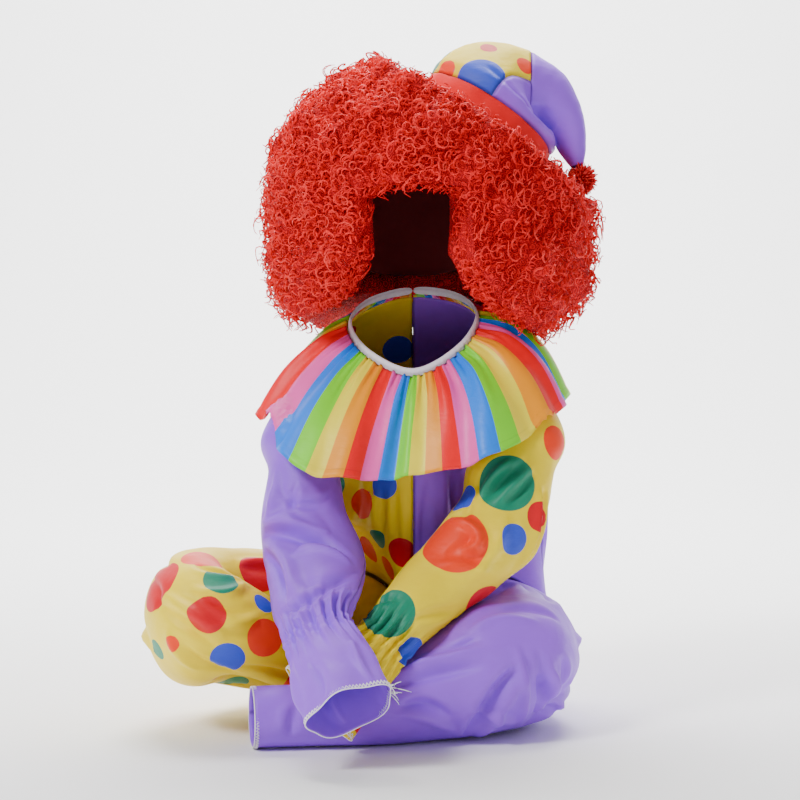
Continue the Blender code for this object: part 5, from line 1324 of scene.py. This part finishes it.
def hat_frame():
    """The hat's axis, the way down its slope, and the side that faces the front."""
    axis = unit(np.array(HAT_AXIS))
    slope = unit(np.array([1.0, 0, 0]) - axis * axis[0])
    return axis, slope, np.cross(axis, slope)


def spread_directions(count):
    """Evenly spread directions: heights in even steps, each turned by the golden angle more than the last."""
    i = np.arange(count) + 0.5
    height = 1 - 2 * i / count
    angle = math.pi * (1 + math.sqrt(5)) * i
    flat = np.sqrt(1 - height**2)
    return np.stack([flat * np.cos(angle), flat * np.sin(angle), height], axis=-1)


def hat_sections(turn):
    """The soft point's section curves at turn, where 0 is the front seam and 0.25 the downhill side."""
    axis, slope, front = hat_frame()
    curves = []
    for along_slope, rise, bend, radius in HAT_POINT:
        bend = math.radians(bend)
        across = math.cos(bend) * slope - math.sin(bend) * axis
        centre = HAT_SEAT + along_slope * slope + rise * axis
        angle = 2 * math.pi * turn
        curves.append(centre + radius * (np.sin(angle)[..., None] * across - np.cos(angle)[..., None] * front))
    return np.stack(curves)


def hat_point(turn, along):
    """A point of the hat: the smooth line through its round sections."""
    return catmull_rom(hat_sections(turn), along)


def pompom_centre():
    """The pompom hangs from the end of the soft point."""
    ends = np.array([0.0, 0.5])
    tip = hat_point(ends, np.full(2, len(HAT_POINT) - 1.0)).mean(axis=0)
    before = hat_point(ends, np.full(2, len(HAT_POINT) - 1.6)).mean(axis=0)
    return tip + (0.93 * POMPOM_RADIUS + SEAM) * unit(tip - before)


def hat_in_the_curls():
    """Centres and radii of balls that stand for the hanging point and its pompom, which push the curls aside."""
    axis, slope, _ = hat_frame()
    balls = []
    for along_slope, rise, _, radius in HAT_POINT[4:]:
        balls.append((HAT_SEAT + along_slope * slope + rise * axis, radius + PUSHED_ASIDE))
    balls.append((pompom_centre(), POMPOM_RADIUS + PUSHED_ASIDE))
    return balls


def curl_surface(direction):
    """The outside of the mass of curls: a rounded form with clumps, pressed flat under the hat."""
    reach = rounded_reach(direction, CURLS, CURLS_HALF, CURLS_POWER)
    closeness = direction @ spread_directions(CLUMPS).T
    spacing = CLUMP_WIDE / 0.15
    rise = np.exp(-(2 - 2 * closeness) / spacing**2).max(axis=-1)
    reach = reach - CLUMP_HIGH * (1 - rise)
    axis, _, _ = hat_frame()
    seat = HAT_SEAT - HEAD
    below = seat @ axis - BAND_HIGH - 0.0035
    flat = below / np.maximum(direction @ axis, 0.2)
    landing = direction * flat[..., None] - seat
    away = np.linalg.norm(landing - (landing @ axis)[..., None] * axis, axis=-1)
    share = smoothstep((away - HAT_BASE - 0.004) / 0.045)
    pressed = np.minimum(reach, flat + share * np.maximum(reach - flat, 0))
    reach = np.where(direction @ axis > 0.25, pressed, reach)
    for centre, radius in hat_in_the_curls():
        offset = centre - HEAD
        nearest = direction @ offset
        miss = offset @ offset - nearest**2
        touch = nearest - np.sqrt(np.maximum(radius**2 - miss, 0))
        reach = np.where((miss < radius**2) & (nearest > 0), np.minimum(reach, touch), reach)
    return reach


def rim(bearing, column):
    """The reach of a rim at each bearing, from WIG_RIM, in radians."""
    table = np.array(WIG_RIM, float)
    folded = np.degrees(np.abs((bearing + math.pi) % (2 * math.pi) - math.pi))
    return np.radians(np.interp(folded, table[:, 0], table[:, column]))


def wig_grid(rows, count, column, surface, start):
    """Rings of points on a surface round the head, from near the crown to a rim."""
    bearing = circle(count)
    share = np.linspace(start, 1, rows)
    reach = share[:, None] * rim(bearing, column)[None]
    direction = head_directions(np.broadcast_to(bearing, reach.shape), reach)
    return HEAD + direction * surface(direction)[..., None]


def fibre_finish(name, low, middle, high, roughness=0.55, rings=0.0):
    """Fibre of three reds: by the tone attribute, a deeper red of painted shade, the body colour,
    and a lighter red of painted light.

    rings adds small curls to the relief, the sine of the distance to the nearest of many scattered points, and lifts
    and lowers the colour along the same curls as painted light and shade."""
    finish, tree, shader = new_finish(name)
    tone_and_shade = attribute(tree, "tone_and_shade")
    place = add_node(tree, "ShaderNodeTexCoord").outputs["Object"]
    strands = add_node(tree, "ShaderNodeTexNoise", Vector=place, Scale=900.0, Detail=2.0).outputs[0]
    wander = add_node(tree, "ShaderNodeTexNoise", Vector=place, Scale=90.0).outputs["Color"]
    bent = add_node(tree, "ShaderNodeVectorMath", {"operation": "MULTIPLY_ADD"}, n0=wander,
                    n1=(0.006, 0.006, 0.006), n2=place).outputs[0]
    cells = add_node(tree, "ShaderNodeTexVoronoi", Vector=bent, Scale=170.0).outputs["Distance"]
    ring = maths(tree, "SINE", sum_of(tree, (cells, 19.0)))
    # Painted light and shade: the tone attribute and the small curls move the colour between the deeper and the
    # lighter red.
    ramp = add_node(tree, "ShaderNodeValToRGB", Fac=sum_of(tree, (tone_and_shade, 0.9), (strands, 0.14), (ring, 0.25 * rings)))
    ramp.color_ramp.elements[0].color, ramp.color_ramp.elements[1].color = low, high
    ramp.color_ramp.elements[0].position, ramp.color_ramp.elements[1].position = 0.08, 0.98
    ramp.color_ramp.elements.new(0.52).color = middle
    tree.links.new(ramp.outputs[0], shader.inputs["Base Color"])
    height = sum_of(tree, (strands, 0.5), (ring, rings))
    relief = add_node(tree, "ShaderNodeBump", Height=height, Distance=0.0012, Strength=0.9)
    tree.links.new(relief.outputs[0], shader.inputs["Normal"])
    shader.inputs["Roughness"].default_value = roughness
    shader.inputs["Specular IOR Level"].default_value = 0.22
    return finish


curl_fibre = fibre_finish("curl_fibre", srgb("C40416"), srgb("FF0818"), srgb("FF3A34"))
# The undercoat's finish has deeper reds than the ringlets': painted shade in the mass between them.
shaded_mass_fibre = fibre_finish("shaded_mass_fibre", srgb("B00414"), srgb("F8081A"), srgb("FF2020"), 0.8, rings=1.0)
net = cloth_finish("cap_net", srgb("5A0A10"), bump=0.0006, roughness=0.9, crumple=260.0)
print("curls reach", CURLS_HALF, "metres from their middle")

# %% [markdown]
# The cap is two skins of the head's own form, about a millimetre apart and joined at the rim. The mass has the
# curls' rounded form outside and the cap's form inside. Both are rings of points from the crown to the rim. Where
# the mass comes down on the collar, its points are lifted clear of the cloth.

# %% Cap and the mass between the ringlets
def head_skin(extra):
    """The head's rounded form, a given distance larger all over."""
    return lambda direction: rounded_reach(direction, HEAD, HEAD_HALF, HEAD_POWER) + extra


collar_cloth = ruffle_points[::2, ::3]
# Columns of WIG_RIM
CURLS_OUTSIDE, CURLS_INSIDE, CAP_RIM = 1, 2, 3
CAP_ROWS = 20
cap = np.concatenate([wig_grid(CAP_ROWS, 80, CAP_RIM, head_skin(CLOTH), 0.0),
                      wig_grid(CAP_ROWS, 80, CAP_RIM, head_skin(0.0004), 0.0)[::-1]])
side_out = np.concatenate([np.ones(CAP_ROWS), -np.ones(CAP_ROWS)])[:, None, None]
cap_piece = grid_piece("wig_cap_net", cap, (cap - HEAD) * side_out, net, closed=True,
                       uv=cloth_uv(cap, True), numbers={"seam_distance": np.full(cap.shape[:2], NO_SEAM)}, wall=0)
worn(cap_piece, ["wig_cap"], "wig_cap_net")

MASS_COUNT = 168
outer = wig_grid(84, MASS_COUNT, CURLS_OUTSIDE, lambda d: curl_surface(d) - 0.0048, 0.0)
outer = outer + 0.0022 * rumple(outer, 0.014, 8)[..., None] * unit(outer - HEAD)
over_cap = head_skin(CLOTH + 3 * SEAM)
inner = wig_grid(24, MASS_COUNT, CAP_RIM, over_cap, 0.0)
lining = np.concatenate([inner, wig_grid(9, MASS_COUNT, CURLS_INSIDE, over_cap, 0.14)[-2:]])
outer, lining = resting(outer, collar_cloth, WIG_LIFT), resting(lining, collar_cloth, WIG_LIFT)
mass = np.concatenate([outer, lining[::-1]])
# The mass's tone is uneven at random but held low in the ramp, so it shows darker than the ringlets: painted shade.
depth = 0.62 + 0.5 * rumple(mass, 0.012, 3)
side_out = np.concatenate([np.ones(len(outer)), -np.ones(len(lining))])[:, None, None]
mass_piece = grid_piece("wig_undercoat", mass, (mass - HEAD) * side_out, shaded_mass_fibre, closed=True,
                        uv=cloth_uv(mass, True), numbers={"tone_and_shade": 0.5 * depth}, wall=0)
worn(mass_piece, ["wig_curls"], "red_curls")
print("undercoat has", mass.shape, "points")

# %% [markdown]
# A ringlet is a helix: a circle that moves along an axis as it turns. Roots are spread evenly over the mass by the
# golden angle, and a second set stands on the thickness of the mass round the face, which the wig shows most. Each
# ringlet's axis leans out, down and a little to a random side. Sizes vary by a third, one in ten is a loose big
# loop, and one in four is a pair of strands. All are worked out as one array of three-sided tubes.

# %% Ringlets
def curled_roots(count, random):
    """Directions that lie on the wig: their angle from the crown is under the rim's, and the hat leaves them free."""
    direction = unit(spread_directions(count) + random.normal(scale=0.018, size=(count, 3)))
    quarter = math.pi / 2
    aims = (0.0, 0.0), (0.0, quarter), (quarter, quarter)
    crown, brow, flank = (head_directions(np.array(bearing), np.array(reach)) for bearing, reach in aims)
    reach = np.arccos(np.clip(direction @ crown, -1, 1))
    bearing = np.arctan2(direction @ flank, direction @ brow)
    direction = direction[reach < rim(bearing, CURLS_OUTSIDE) * 0.985]
    place = HEAD + direction * (curl_surface(direction) - 0.003)[:, None]
    axis, _, _ = hat_frame()
    offset = place - HAT_SEAT
    up = offset @ axis
    under_hat = (np.linalg.norm(offset - up[:, None] * axis, axis=-1) < HAT_BASE - 0.001) & (up > -0.05)
    clear = ~under_hat
    for centre, radius in hat_in_the_curls():
        clear &= np.linalg.norm(place - centre, axis=-1) > radius + 0.001
    return direction[clear], place[clear]


def rim_roots(count, random):
    """Directions and places on the thickness of the mass round the face: a random share of the way between its rims.

    The direction is square to the rim and to the way across, on the side away from the mass."""
    bearing = random.uniform(-95, 95, count) / 360 * outer.shape[1]
    low = np.floor(bearing).astype(int)
    edge_out, edge_in = outer[-1], lining[-1]
    part = (bearing - low)[:, None]
    out = edge_out[low] * (1 - part) + edge_out[low + 1] * part
    back = edge_in[low] * (1 - part) + edge_in[low + 1] * part
    square = unit(np.cross(edge_out[low + 1] - edge_out[low - 1], out - back))
    place = back + (out - back) * random.uniform(0.25, 1.0, (count, 1))
    behind = (outer[-8, low] + lining[-6, low]) / 2
    return square * np.sign(((place - behind) * square).sum(axis=1))[:, None], place


def helices(place, axis, length, radius, turns, start, steps):
    """Helices as one array: the centre moves along the axis while the arm, of the given radius, turns round it.

    The arm grows from a third at the root to full size, and the axis droops by its own length squared."""
    share = np.linspace(0, 1, steps)[None, :, None]
    hint = np.where(np.abs(axis[:, 2:]) > 0.9, [1.0, 0, 0], [0, 0, 1.0])
    first = unit(np.cross(axis, hint))
    second = np.cross(axis, first)
    angle = (2 * math.pi * turns[:, None] * share[..., 0] + start[:, None])[..., None]
    arm = radius[:, None, None] * (0.35 + 0.65 * smoothstep(share * 2))
    centre = place[:, None] + axis[:, None] * length[:, None, None] * (share - 0.45)
    centre = centre + np.array([0, 0, -1.0]) * (0.25 * length)[:, None, None] * share**2
    return centre + arm * (np.cos(angle) * first[:, None] + np.sin(angle) * second[:, None])


def tubes(name, paths, radius, tone_and_shade, material, sides=3):
    """Many tubes as one mesh: at each point of a path a small ring square to it, thinner at both ends."""
    count, steps = paths.shape[:2]
    along = unit(np.gradient(paths, axis=1))
    hint = unit(paths[:, -1:] - paths[:, :1])
    first = unit(np.cross(along, hint + 1e-4))
    second = np.cross(along, first)
    angle = circle(sides)[:, None]
    taper = np.sin(math.pi * (0.06 + 0.88 * np.linspace(0, 1, steps))) ** 0.5
    thick = (radius[:, None] * taper)[..., None, None]
    rings = paths[:, :, None] + thick * (np.cos(angle) * first[:, :, None] + np.sin(angle) * second[:, :, None])
    base = (np.arange(count)[:, None, None] * steps + np.arange(steps - 1)[None, :, None]) * sides
    j = np.arange(sides)
    k = (j + 1) % sides
    quads = np.stack([base + j, base + k, base + k + sides, base + j + sides], axis=-1).reshape(-1, 4)
    ends = np.arange(count)[:, None] * steps * sides
    caps = np.concatenate([ends + j[::-1], ends + (steps - 1) * sides + j])
    flat = rings.reshape(-1, 3)
    one = quads[:: max(len(quads) // 5000, 1)]
    facing = flat[one[:, 0]] - paths.reshape(-1, 3)[one[:, 0] // sides]
    across = np.cross(flat[one[:, 2]] - flat[one[:, 0]], flat[one[:, 3]] - flat[one[:, 1]])
    if (across * facing).sum() < 0:
        quads, caps = quads[:, ::-1], caps[:, ::-1]
    piece = new_piece(name, flat, quads.tolist() + caps.tolist(), material)
    point_tone_and_shade = np.repeat(tone_and_shade, sides, axis=-1)
    piece.data.attributes.new("tone_and_shade", "FLOAT", "POINT").data.foreach_set("value", point_tone_and_shade.ravel())
    return piece


RINGLETS = 4200
RIM_RINGLETS = 460
RIM_SMALLER = 0.7
RINGLET_LONG = 0.0145
RINGLET_ARM = 0.0037
RINGLET_STEPS = 17
random = np.random.default_rng(11)
roots = curled_roots(RINGLETS, random), rim_roots(RIM_RINGLETS, random)
direction, place = (np.concatenate(both) for both in zip(*roots))
number = len(direction)
size = random.uniform(0.7, 1.3, number) * np.where(random.random(number) < 0.10, 1.45, 1.0)
size[-RIM_RINGLETS:] *= RIM_SMALLER
twin = np.concatenate([np.arange(number), np.arange(0, number, 4)])
second = (np.arange(len(twin)) >= number).astype(float)
lean = unit(direction + 0.6 * random.normal(size=(number, 3)) + np.array([0, 0, -0.35]))[twin]
direction, place, size = direction[twin], place[twin], size[twin]
turns, start = random.uniform(1.2, 2.6, number)[twin], random.uniform(0, 6.28, number)[twin]
arm = (RINGLET_ARM * size * random.uniform(0.75, 1.2, number)[twin]) * (1 + 0.2 * second)
paths = helices(place, lean, RINGLET_LONG * size, arm, turns, start + 0.4 * second, RINGLET_STEPS)
number = len(twin)
low = paths[..., 2].min(axis=1) < 0.41
paths[low] = resting(paths[low], collar_cloth, WIG_LIFT, 0.007)
# Painted shade and light: a ringlet is darker red near its root and lighter further out, with a random tone on top.
height = np.linalg.norm(paths - HEAD, axis=-1) - np.linalg.norm(place - HEAD, axis=-1)[:, None]
tone_and_shade = np.clip(0.50 + height / 0.020 + random.normal(scale=0.10, size=(number, 1)), 0, 1)
thick = random.uniform(0.00050, 0.00095, number)
for part in (0, 1, 2):
    curls = tubes(f"wig_ringlets_{part + 1}", paths[part::3], thick[part::3], tone_and_shade[part::3], curl_fibre)
    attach(curls, "root")
print("ringlets:", number)

# %% [markdown]
# The hat is a soft cone that has fallen over. It has a red band, one yellow dotted gore on the uphill side, and one
# purple gore that runs on into a long point with a red pompom. Gores are cut as flat wedges and meet in seams, and
# the soft point bends where it likes. The sections of the point are circles set along a bent line, and the two
# gores share them, half a turn each.

# %% Hat
HAT_FOLDS = (
    (0.05, 0.50, 0.12, 1.60, 0.20, 2.60, 5, -2.4), (0.16, 0.60, 0.20, 1.70, 0.26, 2.50, 6, 2.2),
    (0.95, 1.20, 0.05, 1.30, 0.10, 1.40, 3, -1.2), (0.20, 2.30, 0.32, 2.60, 0.45, 2.40, 5, -2.2),
    (0.30, 3.00, 0.26, 3.80, 0.22, 4.50, 4, 1.8), (0.08, 3.20, 0.12, 3.90, 0.06, 4.80, 4, -1.8),
    (0.60, 0.60, 0.66, 1.50, 0.70, 2.40, 5, -2.0), (0.85, 0.40, 0.82, 1.20, 0.86, 2.10, 5, 1.6),
    (0.45, 0.50, 0.40, 1.40, 0.42, 2.20, 5, -2.0), (0.50, 3.50, 0.46, 4.20, 0.52, 4.90, 4, -1.6),
)
HAT_DOTS = (
    (0.958, 0.56, 23, "blue"), (0.945, 3.00, 9, "orange"), (0.885, 2.05, 8, "red"), (0.780, 0.95, 18, "green"),
    (0.620, 0.70, 18, "orange"), (0.700, 2.20, 13, "red"), (0.560, 2.30, 11, "blue"), (0.860, 0.10, 12, "orange"),
)


def hat_grid(rows, turns, closed=False):
    """A gore's grid: the round sections, the folds, low waves that die at the band, and the sunk seams."""
    along, turn = np.meshgrid(rows, turns, indexing="ij")
    plain = hat_point(turn, along)
    other = hat_point(turn + 0.5, along)
    facing = normals(plain, closed)
    facing = facing * np.sign((facing * (plain - other)).sum())
    lift = fold_relief(plain, facing, hat_point, HAT_FOLDS) + 0.0009 * rumple(plain, 0.03, 60)
    edge = np.full(plain.shape[:2], NO_SEAM)
    if not closed:
        across = walked(plain, 1)
        edge = np.minimum(across, across[:, -1:] - across)
    seams = np.minimum(edge, walked(plain, 0))
    lift = lift * smoothstep(along / 0.5) * smoothstep(edge / 0.004)
    return plain + (lift - seam_roll(seams, 0.0007))[..., None] * facing, facing, plain, seams


crowded = (1 - np.cos(np.linspace(0, math.pi, 54))) / 2
GORES = (("hat_gore_yellow", 0.5 + 0.5 * crowded, DOTTED), ("hat_gore_purple", 0.5 * crowded, PURPLE))
for name, turns, cloth in GORES:
    gore = hat_grid(np.linspace(0, YELLOW_GORE_END, 56), turns)
    cloth_piece(name, gore, dotted(gore[2], hat_point, HAT_DOTS), cloth, held="stretched")
tip_rows = np.linspace(YELLOW_GORE_END + 0.01, len(HAT_POINT) - 1, 68)
points, facing, plain, seams = hat_grid(tip_rows, np.linspace(0, 1, 56, endpoint=False), True)
tip = grid_piece("hat_tip_cloth", points, facing, purple_satin, closed=True, uv=cloth_uv(points, True),
                 numbers={"seam_distance": seams})
worn(tip, ["hat_tip_purple"], "purple_cloth", points, closed=True, held="hung")


def band_grid(count=200, sides=16):
    """A flat band carried round the hat's foot: its section is an oval as high as the band and as thick as felt."""
    axis, slope, front = hat_frame()
    turn = circle(count)
    spoke = np.cos(turn)[:, None] * slope + np.sin(turn)[:, None] * front
    angle = circle(sides)
    rise = -SEAM - (BAND_HIGH - SEAM) / 2 * (1 - np.sign(np.cos(angle)) * np.abs(np.cos(angle)) ** 0.5)
    out = -CLOTH / 2 + CLOTH / 2 * np.sign(np.sin(angle)) * np.abs(np.sin(angle)) ** 0.5
    out = out + 0.0012 * np.cos(math.pi * (rise + BAND_HIGH / 2) / BAND_HIGH)
    wobble = 0.0005 * np.sin(9 * turn) + 0.0003 * np.sin(17 * turn + 1)
    reach = (HAT_BASE + out + wobble[:, None])[..., None]
    points = HAT_SEAT + reach * spoke[:, None] + rise[:, None] * axis
    return points, np.sin(angle)[:, None] * spoke[:, None] + np.cos(angle)[:, None] * axis


points, facing = band_grid()
points, facing = np.concatenate([points, points[:1]]), np.concatenate([facing, facing[:1]])
band = grid_piece("hat_band_felt", points, facing, red_felt, closed=True,
                  numbers={"seam_distance": np.full(points.shape[:2], NO_SEAM)}, wall=0)
worn(band, ["hat_band"], "red_cloth")

# %% [markdown]
# The pompom is a ball of cut wool ends. A small core carries short straight strands that point away from its
# middle, each a little different in length, so its outline is soft.

# %% Pompom
STRANDS = 700
CORE_SHARE = 0.62
random = np.random.default_rng(5)
direction = unit(spread_directions(STRANDS) + random.normal(scale=0.06, size=(STRANDS, 3)))
core = pompom_centre()
share = np.linspace(0.45, 1.0, 5)[None, :, None]
bend = random.normal(scale=0.0012, size=(STRANDS, 1, 3)) * share**2
long = POMPOM_RADIUS * random.uniform(0.93, 1.06, (STRANDS, 1, 1))
tuft = core + direction[:, None] * long * share + bend
# Painted shade and light: strands are darker near the core and lighter at their ends, with a random tone on top.
tone_and_shade = np.clip(0.15 + 0.55 * share[..., 0] ** 2 + random.normal(scale=0.08, size=(STRANDS, 1)), 0, 1)
wool = fibre_finish("pompom_wool", srgb("8E0712"), srgb("E01822"), srgb("FF5A50"), 0.8)
pile = tubes("hat_pompom_pile", tuft, np.full(STRANDS, 0.0007), tone_and_shade, wool)
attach(pile, "root")
rows, turns = np.meshgrid(np.linspace(0, math.pi, 20), circle(32), indexing="ij")
ball = np.stack([np.sin(rows) * np.cos(turns), np.sin(rows) * np.sin(turns), np.cos(rows)], axis=-1)
# The core takes the darkest red, as painted shade inside the pompom.
ball_piece = grid_piece("hat_pompom_core", core + CORE_SHARE * POMPOM_RADIUS * ball, ball, wool, closed=True,
                        numbers={"tone_and_shade": np.full(ball.shape[:2], 0.1)}, wall=0)
worn(ball_piece, ["hat_pompom"], "red_cloth")
print("pompom strands:", len(tuft))

# %% [markdown]
# At one spot the right cuff's edge has come undone and a few ends of thread hang from it. Each end is a curve that
# starts on the edge, goes outwards and sinks as it goes. They are tubes in one mesh, like the pompom's strands.

# %% Loose threads
THREADS = 11
THREAD_POINTS = 9
random = np.random.default_rng(8)
mouth = sleeve_cloths[-1]
spot = int(np.argmax(mouth[-1, :, 0]))
starts = mouth[-1, (spot + random.integers(-5, 6, THREADS)) % mouth.shape[1]]
outward_way = unit(mouth[-1, spot] - mouth[-1].mean(axis=0)) + 0.5 * unit(mouth[-1, spot] - mouth[-6, spot])
away = unit(outward_way + random.normal(scale=0.45, size=(THREADS, 3)))
share = np.linspace(0, 1, THREAD_POINTS)[None, :, None]
sag = random.normal(scale=0.35, size=(THREADS, 1, 3)) - np.array([0, 0, 0.4])
ends = starts[:, None] + random.uniform(0.005, 0.015, (THREADS, 1, 1)) * (share * away[:, None] + share**2 * sag)
thread_ends = fibre_finish("loose_thread", srgb("E8E4F4"), srgb("FBF8FF"), srgb("FFFFFF"), 0.8)
tone_and_shade = np.full((THREADS, THREAD_POINTS), 0.7)
loose = tubes("right_cuff_loose_threads", ends, np.full(THREADS, 0.0004), tone_and_shade, thread_ends)
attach(loose, "root")
print("loose threads:", len(ends))

# %% [markdown]
# The costume sits on a plain pale sweep, a floor that curves up into a wall, so that no line shows behind it. The
# light is a studio's: one large soft lamp at the front left, a weaker one at the right, one from above and behind,
# and an even pale sky that fills the shadows.

# %% Floor, backdrop and lights
def sweep_grid():
    """The floor runs back, turns up through a quarter circle of one metre and goes on as a wall."""
    turn = np.linspace(0, math.pi / 2, 24)
    line = np.concatenate([[[-4.0, 0.0]], np.stack([1.6 + np.sin(turn), 1 - np.cos(turn)], axis=-1), [[2.6, 5.0]]])
    across = np.linspace(-5, 5, 9)
    grid = np.zeros((len(line), len(across), 3))
    grid[..., 0], grid[..., 1], grid[..., 2] = across, line[:, :1], line[:, 1:]
    return grid


paper, tree, shader = new_finish("pale_paper")
grain = add_node(tree, "ShaderNodeTexNoise", Scale=60.0, Detail=2.0)
tint = blended(tree, grain.outputs[0], (0.95, 0.95, 0.95, 1), (0.97, 0.97, 0.97, 1))
tree.links.new(tint, shader.inputs["Base Color"])
shader.inputs["Roughness"].default_value = 0.9
sweep = sweep_grid()
floor = grid_piece("studio_sweep", sweep, np.broadcast_to([0, -0.5, 1.0], sweep.shape), paper, wall=0)

LAMPS = (
    # name, place, size, watts, aimed at
    ("key", (-1.9, -1.7, 2.1), 0.8, 94, (0.0, -0.05, -0.05)),
    ("fill", (1.9, -2.0, 0.6), 1.6, 9, (0.0, -0.05, -0.05)),
    ("top", (0.5, 0.7, 2.1), 1.2, 16, (0.0, -0.05, -0.05)),
    ("wall", (0.0, 1.1, 1.9), 1.6, 190, (0.0, 2.4, 0.1)),
)
for name, place, size, watts, aimed_at in LAMPS:
    lamp = bpy.data.objects.new(name + "_light", bpy.data.lights.new(name + "_light", "AREA"))
    bpy.context.scene.collection.objects.link(lamp)
    lamp.location = place
    aim = np.array(aimed_at) - np.array(place)
    tilt, heading = math.atan2(math.hypot(aim[0], aim[1]), -aim[2]), math.atan2(aim[1], aim[0])
    lamp.rotation_euler = (tilt, 0, heading - math.pi / 2)
    lamp.data.size = size
    lamp.data.energy = watts
sky = bpy.data.worlds.new("studio_sky")
sky.use_nodes = True
sky.node_tree.nodes["Background"].inputs[0].default_value = (1, 1, 1, 1)
sky.node_tree.nodes["Background"].inputs[1].default_value = 0.29
bpy.context.scene.world = sky
print("lamps:", [lamp[0] for lamp in LAMPS])
